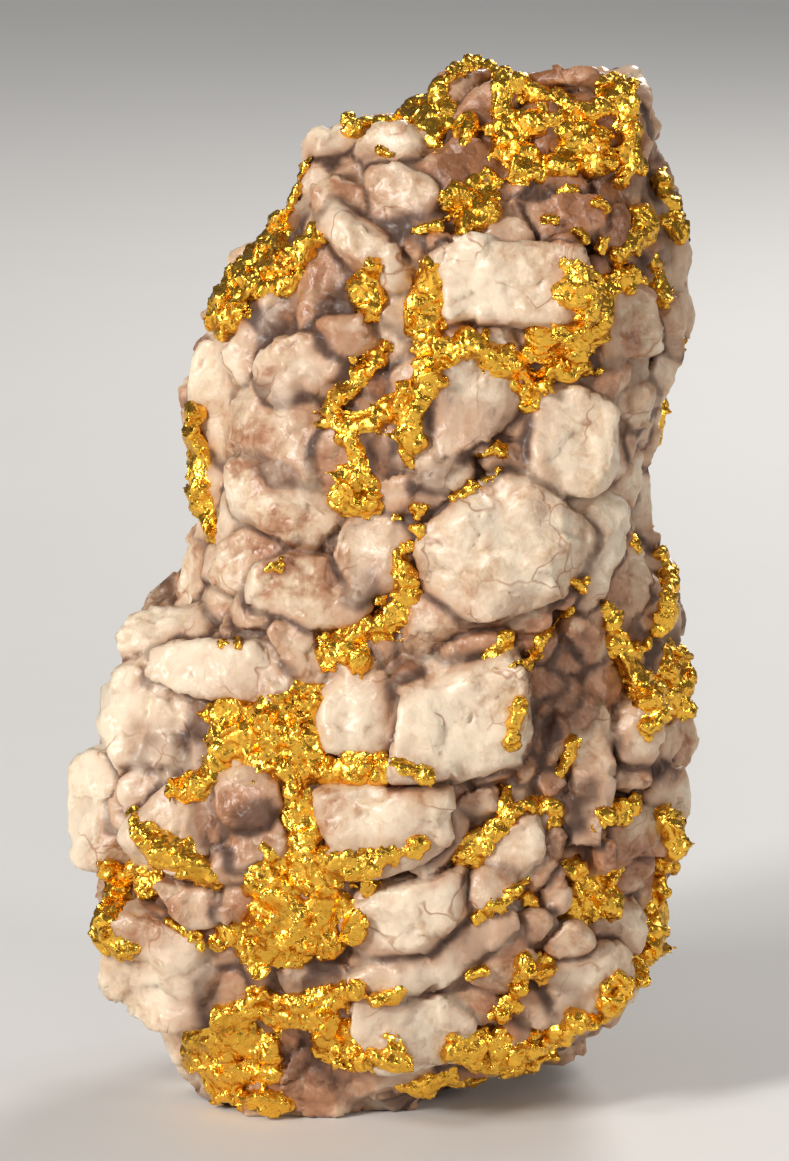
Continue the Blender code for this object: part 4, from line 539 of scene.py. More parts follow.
class Noise:
    """Smooth random numbers through space with about unit spread: a cubic spline on a lattice."""

    def __init__(self, room, wavelength, seed):
        self.low = np.array(room[0]) - 2 * wavelength
        self.wavelength = wavelength
        count = [int((room[1][i] - self.low[i]) / wavelength) + 5 for i in range(3)]
        self.knots = np.random.default_rng(seed).standard_normal(count).astype(np.float32) / 0.33

    def _weights(self, places):
        """The first of the four knots round each place, and the weight of each of the four."""
        base = np.floor(places).astype(int)
        t = places - base
        return base, [(1 - t) ** 3 / 6, (3 * t ** 3 - 6 * t ** 2 + 4) / 6,
                      (-3 * t ** 3 + 3 * t ** 2 + 3 * t + 1) / 6, t ** 3 / 6]

    def on_grid(self, grid):
        """The noise in every cell of a grid."""
        field = self.knots
        for axis in range(3):
            places = (grid.axes[axis] - self.low[axis]) / self.wavelength
            base, weights = self._weights(places)
            matrix = np.zeros((len(places), self.knots.shape[axis]), dtype=np.float32)
            for step, weight in enumerate(weights):
                matrix[np.arange(len(places)), base + step] = weight
            field = np.moveaxis(np.tensordot(matrix, field, axes=(1, axis)), 0, axis)
        return field

    def at(self, points):
        """The noise at each point."""
        places = (points - self.low) / self.wavelength
        parts = [self._weights(places[:, axis]) for axis in range(3)]
        total = np.zeros(len(points), dtype=np.float32)
        for i in range(4):
            for j in range(4):
                for k in range(4):
                    weight = parts[0][1][i] * parts[1][1][j] * parts[2][1][k]
                    total += weight * self.knots[parts[0][0] + i, parts[1][0] + j, parts[2][0] + k]
        return total


class Cells:
    """Space divided into irregular cells, each with a seed and a random vector."""

    def __init__(self, room, size, seed):
        self.low = np.array(room[0]) - 2 * size
        self.size = size
        count = [int((room[1][i] - self.low[i]) / size) + 4 for i in range(3)]
        rng = np.random.default_rng(seed)
        corner = np.stack(np.meshgrid(*[np.arange(n) for n in count], indexing="ij"), axis=-1)
        self.seeds = self.low + (corner + rng.random(corner.shape)) * size
        self.vectors = rng.standard_normal(corner.shape)

    def at(self, points):
        """The nearest seed's place and vector."""
        base = np.floor((points - self.low) / self.size).astype(int)
        least = np.full(len(points), np.inf)
        seed = np.zeros_like(points)
        vector = np.zeros_like(points)
        for i in (-1, 0, 1):
            for j in (-1, 0, 1):
                for k in (-1, 0, 1):
                    at = (base[:, 0] + i, base[:, 1] + j, base[:, 2] + k)
                    distance = np.linalg.norm(points - self.seeds[at], axis=1)
                    nearer = distance < least
                    least = np.where(nearer, distance, least)
                    seed[nearer] = self.seeds[at][nearer]
                    vector[nearer] = self.vectors[at][nearer]
        return seed, vector


# ---- distance fields on grids ----

class Grid:
    """A box of space in equal cells."""

    def __init__(self, low, high, cell):
        self.cell = cell
        self.low = np.array(low, dtype=float)
        self.shape = tuple(int(math.ceil((high[i] - low[i]) / cell)) + 1 for i in range(3))
        self.axes = [self.low[i] + cell * np.arange(self.shape[i]) for i in range(3)]

    def window(self, low, high):
        """Slices of the grid that cover a box."""
        first = [max(0, int((low[i] - self.low[i]) / self.cell)) for i in range(3)]
        last = [min(self.shape[i], int((high[i] - self.low[i]) / self.cell) + 2) for i in range(3)]
        return tuple(slice(first[i], last[i]) for i in range(3))

    def points(self, window):
        """The places in a window, with x, y and z along the last axis."""
        axes = [self.axes[i][window[i]] for i in range(3)]
        return np.stack(np.meshgrid(*axes, indexing="ij"), axis=-1).astype(np.float32)

    def sample(self, field, points):
        """The field's value at each point, between the eight corners round it."""
        places = (points - self.low) / self.cell
        limit = np.array(self.shape) - 2
        base = np.clip(np.floor(places).astype(int), 0, limit)
        t = np.clip(places - base, 0, 1)
        total = np.zeros(len(points))
        for i in (0, 1):
            for j in (0, 1):
                for k in (0, 1):
                    weight = np.ones(len(points))
                    for axis, step in enumerate((i, j, k)):
                        weight *= t[:, axis] if step else 1 - t[:, axis]
                    total += weight * field[base[:, 0] + i, base[:, 1] + j, base[:, 2] + k]
        return total

    def slope(self, field, points):
        """Unit vectors up the field's slope at each point."""
        step = 0.6 * self.cell
        parts = []
        for axis in range(3):
            move = np.zeros(3)
            move[axis] = step
            parts.append(self.sample(field, points + move) - self.sample(field, points - move))
        way = np.stack(parts, axis=1)
        return way / np.maximum(np.linalg.norm(way, axis=1, keepdims=True), 1e-9)

    def skin(self, field):
        """Points and quads of the surface where the field passes through 0."""
        inside = field < 0
        count = np.zeros([n - 1 for n in self.shape], dtype=np.int8)
        corners = [(i, j, k) for i in (0, 1) for j in (0, 1) for k in (0, 1)]
        for corner in corners:
            count += inside[tuple(slice(c, n - 1 + c) for c, n in zip(corner, self.shape))]
        cells = np.argwhere((count > 0) & (count < 8))
        values = {c: field[cells[:, 0] + c[0], cells[:, 1] + c[1], cells[:, 2] + c[2]] for c in corners}
        places = np.zeros((len(cells), 3))
        crossings = np.zeros(len(cells))
        for start in corners:
            for axis in range(3):
                if start[axis]:
                    continue
                end = tuple(start[i] + (i == axis) for i in range(3))
                a, b = values[start], values[end]
                crosses = (a < 0) != (b < 0)
                t = np.where(crosses, a / np.where(crosses, a - b, 1), 0)
                for i in range(3):
                    places[:, i] += crosses * (start[i] + (t if i == axis else 0))
                crossings += crosses
        points = self.low + self.cell * (cells + places / crossings[:, None])
        number = np.full(count.shape, -1, dtype=np.int32)
        number[cells[:, 0], cells[:, 1], cells[:, 2]] = np.arange(len(cells))
        return points, np.concatenate([self._walls(inside, number, axis) for axis in range(3)])

    def _walls(self, inside, number, axis):
        """Quads across the grid's edges that run along one axis."""
        low = [slice(None)] * 3
        high = [slice(None)] * 3
        low[axis], high[axis] = slice(0, -1), slice(1, None)
        first, second = inside[tuple(low)], inside[tuple(high)]
        at = np.argwhere(first != second)
        b, c = (axis + 1) % 3, (axis + 2) % 3
        room = (at[:, b] > 0) & (at[:, c] > 0)
        room &= (at[:, b] < self.shape[b] - 1) & (at[:, c] < self.shape[c] - 1)
        at = at[room]
        ring = []
        for step_b, step_c in ((-1, -1), (0, -1), (0, 0), (-1, 0)):
            cell = at.copy()
            cell[:, b] += step_b
            cell[:, c] += step_c
            ring.append(number[cell[:, 0], cell[:, 1], cell[:, 2]])
        quads = np.stack(ring, axis=1)
        leaving = first[at[:, 0], at[:, 1], at[:, 2]]
        quads[~leaving] = quads[~leaving][:, ::-1]
        return quads


# ---- quartz ----

def chip_planes(rng, chips):
    """Planes that chip a unit block: a unit normal and its distance from the middle."""
    planes = []
    while len(planes) < chips:
        way = Vector([rng.choice((-1, 0, 1)) + rng.uniform(-CHIP_SPREAD, CHIP_SPREAD) for _ in range(3)])
        if way.length < CHIP_LEAST:
            continue
        way.normalize()
        reach = abs(way.x) + abs(way.y) + abs(way.z)
        planes.append((way, reach * rng.uniform(*CHIP_DISTANCE)))
    return planes


def corner_planes(rng):
    """Planes that cut the corners of a block's outline, as (way, distance) in its unit cube."""
    planes = []
    for corner in range(4):
        angle = math.pi * (0.25 + 0.5 * corner) + rng.uniform(-CORNER_TURN, CORNER_TURN)
        way = Vector((math.cos(angle), math.sin(angle), rng.uniform(*CORNER_RISE))).normalized()
        planes.append((way, rng.uniform(*CORNER_REACH)))
    return planes


def block(centre, axes, size, rng, chips=CHIPS, cornered=True):
    """A chipped block: its centre, its radius, and for each plane of it the unit normal, the distance
    from the centre and how far the plane has grown outward."""
    planes = [(Vector([sign * (axis == i) for i in range(3)]), 1.0)
              for axis in range(3) for sign in (-1, 1)]
    planes += chip_planes(rng, chips)
    if cornered:
        planes += corner_planes(rng)
    half = Vector(size) / 2
    most = GROWN * min(1.0, min(size[:2]) / FULLY_GROWN)
    normals, distances, growth = [], [], []
    for way, distance in planes:
        scaled = axes @ Vector([way[i] / half[i] for i in range(3)])
        normal = scaled.normalized()
        normals.append(normal[:])
        distances.append(distance / scaled.length)
        growth.append(most * math.sqrt(max(0.0, 1.0 - normal.dot(axes.col[2]) ** 2)))
    radius = half.length + most
    return np.array(centre), radius, np.array(normals), np.array(distances), np.array(growth)


def block_depth(width, height):
    """How deep a block reaches from its outer face."""
    return DEPTH_SHARE * min(width, height) + DEPTH_ADDED


def face_blocks():
    """The drawn blocks, laid on the face."""
    for index, (u, v, width, height, tilt, stand_out) in enumerate(FACE_BLOCKS):
        point = on_face(u, v)
        out = (VIEWER * FACING + outward(point)).normalized()
        depth = block_depth(width, height)
        size = (width * BLOCK_SWELL, height * BLOCK_SWELL, depth)
        centre = point + out * (stand_out - depth / 2)
        yield block(centre, axes_at(out, tilt), size, random.Random(SEED + index))


def gold_marks():
    """Every (u, v, half-width) of the gold on the face."""
    return [mark[:3] for strokes in GOLD.values() for stroke in strokes for mark in stroke]


def is_free(u, v, marks):
    """True where neither a drawn block nor gold covers (u, v)."""
    for bu, bv, width, height, _, _ in FACE_BLOCKS:
        if abs(u - bu) < width / 2 and abs(v - bv) < height / 2:
            return False
    return all(math.hypot(u - gu, v - gv) > half + CLEAR_OF_GOLD for gu, gv, half in marks)


def fill_blocks():
    """Rows of blocks round the ground mass, left out where the drawing shows something else."""
    rng = random.Random(SEED)
    marks = gold_marks()
    along, rise = FILL_STRAY
    z = FILL_HEIGHTS[0]
    while z < FILL_HEIGHTS[1]:
        left, right, front, back = section(z)
        around = math.pi * (right - left + back - front) / 2
        count = max(FILL_FEWEST, round(around / FILL_STEP))
        for i in range(count):
            angle = 2 * math.pi * (i + rng.uniform(-along, along)) / count
            height = z + rng.uniform(-rise, rise)
            width, tall = rng.uniform(*FILL_WIDTH), rng.uniform(*FILL_HEIGHT)
            tilt, stand_out = rng.uniform(*FILL_TILT), rng.uniform(*FILL_STAND_OUT)
            block_rng = random.Random(rng.randrange(10 ** 6))
            point = skin_point(angle, height)
            out = outward(point)
            seen = out.dot(VIEWER) > SEEN
            if seen and not is_free(*drawn(point), marks):
                continue
            if seen:
                width, tall = width * FACE_SHRINK, tall * FACE_SHRINK
                stand_out *= FACE_SHRINK
            elif abs(out.x) > FLANK:
                stand_out = block_rng.uniform(*SIDE_STAND_OUT)
            elif out.y > BACKWARD:
                width, tall = width * BACK_GROWTH, tall * BACK_GROWTH
                stand_out = block_rng.uniform(*BACK_STAND_OUT)
            depth = block_depth(width, tall)
            centre = point + out * (stand_out - depth / 2)
            yield block(centre, axes_at(out, tilt), (width, tall, depth), block_rng)
        z += FILL_ROW


def pebbles():
    """Small blocks packed into the ground mass between the others, each with its outer tip."""
    rng = random.Random(SEED + 1)
    for _ in range(PEBBLES):
        point = skin_point(rng.uniform(0, 2 * math.pi), rng.uniform(*PEBBLE_HEIGHTS))
        out = outward(point)
        width, tall = rng.uniform(*PEBBLE_SIZE), rng.uniform(*PEBBLE_SIZE)
        depth = min(width, tall) + PEBBLE_DEPTH_ADDED
        lift = rng.uniform(*PEBBLE_STAND_OUT) - (PEBBLE_SUNK if out.dot(VIEWER) > SEEN else 0.0)
        tip = point + out * lift
        axes = axes_at(out, rng.uniform(0, 180))
        centre = tip - out * depth / 2
        yield tip, block(centre, axes, (width, tall, depth), rng, PEBBLE_CHIPS, cornered=False)


def ground_distance(grid):
    """Distance from the ground mass, and how much its skin faces the front or the back."""
    x, y, z = (axis.astype(np.float32) for axis in grid.axes)
    left, right, front, back = (edge.astype(np.float32) for edge in ground_section(z))
    across = np.abs(x[:, None] - (left + right) / 2) / ((right - left) / 2)
    through = np.abs(y[:, None] - (front + back) / 2) / ((back - front) / 2)
    full = across[:, None, :] ** SECTION_POWER + through[None, :, :] ** SECTION_POWER
    full = full ** (1 / SECTION_POWER)
    steep = np.gradient(full, grid.cell)
    square = steep[0] ** 2 + steep[1] ** 2 + steep[2] ** 2 + 1e-6
    distance = np.maximum((full - 1) / np.sqrt(square), (z - ROWS[-1, 0])[None, None, :])
    return distance.astype(np.float32), steep[1] ** 2 / square


def soft_least(a, b, blend):
    """The lesser of two distances, rounded where they cross."""
    share = np.clip(0.5 + 0.5 * (a - b) / blend, 0, 1)
    return a + (b - a) * share - blend * share * (1 - share)


class Quartz:
    """The quartz as a distance field, with what it is made of.

    ground is the ground mass and plain the same with its blocks before they have grown. first and
    second are the distances to the two nearest grown blocks, owner is the number of the nearest one,
    and melted has all of them run together.
    """

    def __init__(self):
        self.grid = Grid(*QUARTZ_ROOM, QUARTZ_CELL)
        self.warp = [sum(self.waves(length, number + i, amount) for length, number, amount in WARPS)
                     for i in range(3)]
        self.ground, facing = ground_distance(self.grid)
        self.plain = self.ground.copy()
        for waves in GROUND_WAVES:
            self.ground = self.ground + self.waves(*waves)
        self.first = np.full(self.grid.shape, FAR, dtype=np.float32)
        self.second = np.full(self.grid.shape, 2 * FAR, dtype=np.float32)
        self.owner = np.zeros(self.grid.shape, dtype=np.int16)
        self.melted = self.ground.copy()
        flow = self._flow()
        varied = BLEND + BLEND_VARIES * np.clip(self.waves(*BLEND_WAVES), 0, 2)
        self.blend = np.minimum(varied + FLOW_BLEND * flow, BLEND_MOST)
        rng = np.random.default_rng(SEED)
        self.tones = self._tones(self._add_all(rng), rng)
        self.field = self._finished(flow, facing)

    def waves(self, wavelength, number, amount):
        """Noise over the grid."""
        return amount * Noise(QUARTZ_ROOM, wavelength, SEED + number).on_grid(self.grid)

    def _flow(self):
        """1 where the blocks have run together: the left of the face and below the crown."""
        x, y, z = (axis.astype(np.float32) for axis in self.grid.axes)
        patch = 0
        for middle_x, middle_z, width, height in FLOWS:
            across = (x[:, None] - middle_x) / width
            patch = np.maximum(patch, np.exp(-across ** 2 - ((z[None, :] - middle_z) / height) ** 2))
        return patch[:, None, :] * (y < FLOW_BEHIND)[None, :, None]

    def _add_all(self, rng):
        """Add the blocks and the pebbles, and count them."""
        number = 0
        for parts in list(face_blocks()) + list(fill_blocks()):
            number += 1
            self._add(number, parts, rng.uniform(*SHARPNESS))
        for tip, parts in pebbles():
            if self._depth_at(tip) > BURIED:
                number += 1
                self._add(number, parts, rng.uniform(*PEBBLE_SHARPNESS))
        return number

    def _depth_at(self, place):
        """Distance of one place from the ground and the blocks so far: negative inside."""
        at = tuple(int(round(k)) for k in (np.array(place) - self.grid.low) / self.grid.cell)
        return min(self.first[at], self.ground[at])

    def _tones(self, count, rng):
        """How white each block is: the large drawn ones are the whitest."""
        tones = rng.standard_normal(count + 1)
        for index, (_, _, width, height, _, _) in enumerate(FACE_BLOCKS, start=1):
            larger = (width * height - WHITE_FROM) / WHITE_FROM
            tones[index] = OWN_TONE * tones[index] + np.clip(larger, *WHITENESS)
        return tones

    def _finished(self, flow, facing):
        """The field with its cracks, kept near the plain blocks and cut at the top and the foot."""
        depth = np.clip(CRACK_DEPTH + self.waves(*CRACK_WAVES), *CRACK_LIMITS) * (1 - FLOW_CLOSES * flow)
        crack = depth * np.exp(-((self.second - self.first) / CRACK_WIDTH) ** 2)
        _, y, z = (axis.astype(np.float32) for axis in self.grid.axes)
        low_down = np.clip((TOP_HEIGHT - self.grid.axes[2]) / TOP_FADE, 0, 1).astype(np.float32)
        room = OUTLINE_ROOM + FACE_ROOM * facing * low_down
        field = np.maximum(self.melted + crack, self.plain - room)
        up, back = z[None, None, :] * math.cos(LEAN), y[None, :, None] * math.sin(LEAN)
        above_top = up + back + DRAWING_BASE - TOP_V
        field = np.maximum(field, above_top + self.waves(*TOP_WAVES))
        return np.maximum(field, -z)

    def _add(self, number, parts, sharpness):
        """Add one block to every field, where it reaches."""
        centre, radius, normals, distances, growth = parts
        window = self.grid.window(centre - radius - REACH, centre + radius + REACH)
        points = self.grid.points(window)
        if points.size == 0:
            return
        points += np.stack([warp[window] for warp in self.warp], axis=-1)
        heights = (points - centre.astype(np.float32)) @ normals.T.astype(np.float32)
        heights -= distances.astype(np.float32)
        plain = self.plain[window]
        np.minimum(plain, heights.max(axis=-1), out=plain)
        heights -= growth.astype(np.float32)
        top = heights.max(axis=-1)
        spread = np.exp(sharpness * (heights - top[..., None])).sum(axis=-1)
        distance = top + np.log(spread) / sharpness
        first, second, owner = self.first[window], self.second[window], self.owner[window]
        nearer = distance < first
        second[...] = np.where(nearer, first, np.minimum(second, distance))
        owner[nearer] = number
        first[nearer] = distance[nearer]
        melted = self.melted[window]
        melted[...] = soft_least(melted, distance, self.blend[window])


def facet_heights(points, layers, room, seed):
    """Small flat chips, as heights along the skin's normal: layers of (size of a chip, slope, most)."""
    height = np.zeros(len(points))
    for index, (size, amount, most) in enumerate(layers):
        seeds, vectors = Cells(room, size, seed + index).at(points)
        height += np.clip(amount * np.einsum("ij,ij->i", points - seeds, vectors), -most, most)
    return height


def drawn_in(points):
    """Points that pass the box of the solids, brought closer to it."""
    low, high = (np.array(corner) / MM for corner in CAD_BOX)
    inside = np.clip(points, low, high)
    return inside + OVERHANG * (points - inside)


def quartz_shape(quartz):
    """Points and quads of the finished quartz."""
    points, quads = quartz.grid.skin(quartz.field)
    out = quartz.grid.slope(quartz.field, points)
    points -= out * quartz.grid.sample(quartz.field, points)[:, None] * SETTLING
    grounded = points[:, 2] < FOOT_HEIGHT
    chips = facet_heights(points, QUARTZ_CHIPS, QUARTZ_ROOM, SEED + 41)
    lift = chips + GRAIN_HEIGHT * Noise(QUARTZ_ROOM, GRAIN, SEED + 50).at(points)
    points += out * np.where(grounded, 0, lift)[:, None]
    points = drawn_in(points)
    points[:, 2] = np.maximum(points[:, 2], 0.0)
    return points, quads


# ---- gold ----

def sight(turn):
    """Across, up and away for the drawing turned by some degrees."""
    spin = np.array(Matrix.Rotation(math.radians(turn), 3, "Z"))
    across = spin @ np.array([1.0, 0.0, 0.0])
    up = spin @ np.array([0.0, math.sin(LEAN), math.cos(LEAN)])
    away = spin @ np.array([0.0, math.cos(LEAN), -math.sin(LEAN)])
    return across, up, away


def landed(quartz, places, turn):
    """Where the lines of sight through places (u, v) meet the quartz, the way out of it there, and
    which lines miss it."""
    across, up, away = sight(turn)
    starts = places[:, :1] * across + (places[:, 1:] - DRAWING_BASE) * up
    along = np.arange(-SIGHT_LENGTH, SIGHT_LENGTH, SIGHT_STEP)
    track = starts[:, None, :] + along[None, :, None] * away
    depth = quartz.grid.sample(quartz.field, track.reshape(-1, 3)).reshape(len(places), -1)
    hit = (depth < 0).argmax(axis=1)
    missed = ~(depth < 0).any(axis=1)
    hit[missed] = depth[missed].argmin(axis=1)
    points = track[np.arange(len(places)), hit]
    out = quartz.grid.slope(quartz.field, points)
    share = np.where(missed, MISSED_SHARE, 1)[:, None]
    points = points - out * quartz.grid.sample(quartz.field, points)[:, None] * share
    out = out - away * SIGHT_PULL
    return points, out / np.linalg.norm(out, axis=1, keepdims=True), missed


def marks_along(stroke):
    """Marks (u, v, half-width, depth or None) along a stroke."""
    rows = [mark if len(mark) == 4 else mark + (None,) for mark in stroke]
    for start, end in zip(rows, rows[1:]):
        length = math.hypot(end[0] - start[0], end[1] - start[1])
        steps = max(1, round(length / (MARK_SPACING * 0.5 * (start[2] + end[2]))))
        numbers = 4 if None not in (start[3], end[3]) else 3
        for i in range(steps):
            t = i / steps
            between = tuple(start[k] + (end[k] - start[k]) * t for k in range(numbers))
            yield between if numbers == 4 else between + (None,)
    yield rows[-1]


def evened(values):
    """Each value averaged with the ones before and after it."""
    return np.convolve(np.pad(values, 1, mode="edge"), [1 / 3] * 3, mode="valid")


def trail(quartz, stroke, turn):
    """The stroke laid on the quartz: points, outward ways and half-widths, evened in depth."""
    marks = list(marks_along(stroke))
    places = np.array([mark[:2] for mark in marks])
    points, outs, missed = landed(quartz, places, turn)
    away = sight(turn)[2]
    for i, (u, v, _, y) in enumerate(marks):
        if y is None:
            continue
        place = np.array([u, y, (v - DRAWING_BASE - y * math.sin(LEAN)) / math.cos(LEAN)])
        out = np.array(outward(Vector(place)))
        if missed[i] or points[i] @ away > place @ away:
            depth = quartz.grid.sample(quartz.field, place[None, :])[0]
            points[i] = place - out * (min(0.0, depth + EDGE_DEPTH) + EDGE_INSET)
            outs[i] = out
    for _ in range(EVENING):
        depths = points @ away
        points = points + np.outer(evened(depths) - depths, away)
        outs = np.stack([evened(outs[:, i]) for i in range(3)], axis=1)
        outs /= np.linalg.norm(outs, axis=1, keepdims=True)
    return points, outs, np.array([mark[2] for mark in marks])


def turned(rng, out, most):
    """Axes (as columns) whose third leans away from out by up to most radians, spun at random."""
    side = np.cross(out, rng.standard_normal(3))
    side /= np.linalg.norm(side)
    lean = rng.uniform(0, most)
    third = out * math.cos(lean) + side * math.sin(lean)
    first = np.cross(third, rng.standard_normal(3))
    first /= np.linalg.norm(first)
    return np.stack([first, np.cross(third, first), third], axis=1)


def crumbs(points, outs, halves, rng):
    """Nuggets, lumps and leaves along a trail, each (centre, axes, radii)."""
    for point, out, half in zip(points, outs, halves):
        core = half * rng.uniform(*NUGGET_WIDTH)
        point = point - out * SUNK * max(0.0, half - THICK)
        yield (point + scattered(rng, out, half, *NUGGET_STRAY), turned(rng, out, NUGGET_LEAN),
               (core, core * rng.uniform(*NUGGET_OVAL), NUGGET_HEIGHT[0] * half + NUGGET_HEIGHT[1]))
        size = max(LUMP_LEAST, half * rng.uniform(*LUMP_WIDTH))
        yield (point + scattered(rng, out, half, *LUMP_STRAY), turned(rng, out, LUMP_LEAN),
               (size, size * rng.uniform(*LUMP_OVAL), size * rng.uniform(*LUMP_HEIGHT)))
        for _ in range(LEAVES):
            size = max(LEAF_LEAST, half * rng.uniform(*LEAF_WIDTH))
            yield (point + scattered(rng, out, half, *LEAF_STRAY), turned(rng, out, LEAF_LEAN),
                   (size, size * rng.uniform(*LEAF_OVAL), rng.uniform(*LEAF_HEIGHT)))


def scattered(rng, out, half, sideways, lift):
    """A random step across the skin and out of it, by up to those shares of the half-width."""
    step = rng.uniform(-1, 1, 3) * (sideways * half)
    step -= out * (step @ out)
    return step + out * (lift * half) * rng.uniform(0.0, 1.0)


def ellipsoid_distance(points, centre, axes, radii):
    """About how far points lie outside an ellipsoid."""
    local = (points - centre.astype(np.float32)) @ axes.astype(np.float32)
    near = np.linalg.norm(local / np.array(radii, dtype=np.float32), axis=-1)
    far = np.linalg.norm(local / np.array(radii, dtype=np.float32) ** 2, axis=-1)
    return near * (near - 1) / np.maximum(far, 1e-4)


class Gold:
    """A mass of gold as a distance field on a grid of its own, with the forms it is made of."""

    def __init__(self, quartz, strokes, turn, seed):
        rng = np.random.default_rng(seed)
        self.forms = []
        for stroke in strokes:
            self.forms += list(crumbs(*trail(quartz, stroke, turn), rng))
        centres = np.array([form[0] for form in self.forms])
        room = (centres.min(axis=0) - GOLD_ROOM, centres.max(axis=0) + GOLD_ROOM)
        self.grid = Grid(*room, GOLD_CELL)
        self.field = np.full(self.grid.shape, GOLD_FAR, dtype=np.float32)
        for centre, axes, radii in self.forms:
            reach = max(radii) + 1.0
            window = self.grid.window(centre - reach, centre + reach)
            distance = ellipsoid_distance(self.grid.points(window), centre, axes, radii)
            self.field[window] = soft_least(self.field[window], distance, GOLD_BLEND)
        typical = np.mean([mark[2] for stroke in strokes for mark in stroke])
        self.field -= min(1.0, typical / FULLY_FOLDED) * crumpled(self.grid, room, seed)
        points = self.grid.points(tuple(slice(None) for _ in range(3))).reshape(-1, 3)
        depth = -quartz.grid.sample(quartz.field, points).reshape(self.grid.shape)
        self.field = np.maximum(self.field, (depth - GOLD_ROOTED).astype(np.float32))
        below = (GOLD_LOWEST - self.grid.axes[2])[None, None, :]
        self.field = np.maximum(self.field, below.astype(np.float32))


def crumpled(grid, room, seed):
    """Sharp folds and pits of crumpled foil, as heights over a grid."""
    total = 0
    for index, (wavelength, amount) in enumerate(FOLDS):
        noise = Noise(room, wavelength, seed * 7 + index).on_grid(grid)
        total = total + amount * (np.exp(-np.abs(noise) * FOLD_SHARPNESS) - FOLD_MIDDLE)
    pits = Noise(room, PIT_WAVELENGTH, seed * 7 + len(FOLDS)).on_grid(grid)
    return total - PIT_DEPTH * np.clip(pits - PIT_FROM, 0, 1)


def without_crumbs(points, quads):
    """The surface without its loose islands of few points."""
    label = np.arange(len(points))
    while True:
        least = label.copy()
        np.minimum.at(least, quads.ravel(), np.repeat(label[quads].min(axis=1), 4))
        least = least[least]
        if (least == label).all():
            break
        label = least
    sizes = np.bincount(label, minlength=len(points))
    kept = sizes[label] > min(CRUMB, CRUMB_SHARE * sizes.max())
    number = np.cumsum(kept) - 1
    return points[kept], number[quads[kept[quads[:, 0]]]]


def gold_shape(mass, seed):
    """Points, quads and hollowness of a finished mass of gold."""
    points, quads = without_crumbs(*mass.grid.skin(mass.field))
    hollow = hollowness(mass.grid, mass.field, points, GOLD_HOLLOW_REACH)
    out = mass.grid.slope(mass.field, points)
    room = (points.min(axis=0), points.max(axis=0))
    points = points + out * facet_heights(points, GOLD_CHIPS, room, seed)[:, None]
    points = drawn_in(points)
    points[:, 2] = np.maximum(points[:, 2], GOLD_LOWEST)
    return points, quads, hollow


# ---- meshes ----

def placed(name, data):
    """A new object in the scene."""
    made = bpy.data.objects.new(name, data)
    bpy.context.scene.collection.objects.link(made)
    return made


def mesh_object(name, points, quads, attributes):
    """A smooth piece from points in millimetres."""
    mesh = bpy.data.meshes.new(name)
    mesh.from_pydata((points * MM).tolist(), [], quads.tolist())
    piece = placed(name, mesh)
    give_attributes(mesh, attributes)
    mesh.shade_smooth()
    return piece


def give_attributes(mesh, attributes):
    """Note values at each point of a mesh, for its material."""
    for key, values in attributes.items():
        layer = mesh.attributes.new(key, "FLOAT", "POINT")
        layer.data.foreach_set("value", np.ascontiguousarray(values, dtype=np.float32))


def thinned(piece, facets):
    """Collapse a piece's mesh to about a number of triangles."""
    count = 2 * len(piece.data.polygons)
    thin = piece.modifiers.new("thin", "DECIMATE")
    thin.ratio = min(1.0, facets / count)
    thin.use_collapse_triangulate = True
    graph = bpy.context.evaluated_depsgraph_get()
    mesh = bpy.data.meshes.new_from_object(piece.evaluated_get(graph))
    piece.modifiers.clear()
    old = piece.data
    piece.data = mesh
    bpy.data.meshes.remove(old)
    mesh.name = piece.name


def points_of(mesh):
    """The points of a mesh in millimetres."""
    places = np.empty(3 * len(mesh.vertices), dtype=np.float32)
    mesh.vertices.foreach_get("co", places)
    return places.reshape(-1, 3).astype(float) / MM


def hollowness(grid, field, points, reach):
    """How far a point lies in a hollow: 0 on open ground or a ridge, 1 deep in a fold."""
    out = grid.slope(field, points)
    return np.clip(1.0 - grid.sample(field, points + out * reach) / reach, 0, 1)


def distance_from_gold(quartz, masses):
    """About how far each cell of the quartz's grid lies from gold."""
    near = np.full(quartz.grid.shape, NEAR_GOLD, dtype=np.float32)
    for mass in masses:
        for centre, _, radii in mass.forms:
            radius = (radii[0] + radii[1]) / 2
            window = quartz.grid.window(centre - radius - NEAR_GOLD_ROOM, centre + radius + NEAR_GOLD_ROOM)
            apart = quartz.grid.points(window) - centre.astype(np.float32)
            near[window] = np.minimum(near[window], np.linalg.norm(apart, axis=-1) - radius)
    return near


def staining(points):
    """How brown the quartz is at each point, from the stained places of the face."""
    u = points[:, 0]
    v = points[:, 2] * math.cos(LEAN) + points[:, 1] * math.sin(LEAN) + DRAWING_BASE
    total = np.zeros(len(points))
    for stain_u, stain_v, radius, amount in STAINS:
        total += amount * np.exp(-((u - stain_u) ** 2 + (v - stain_v) ** 2) / radius ** 2)
    return total


# ---- materials ----

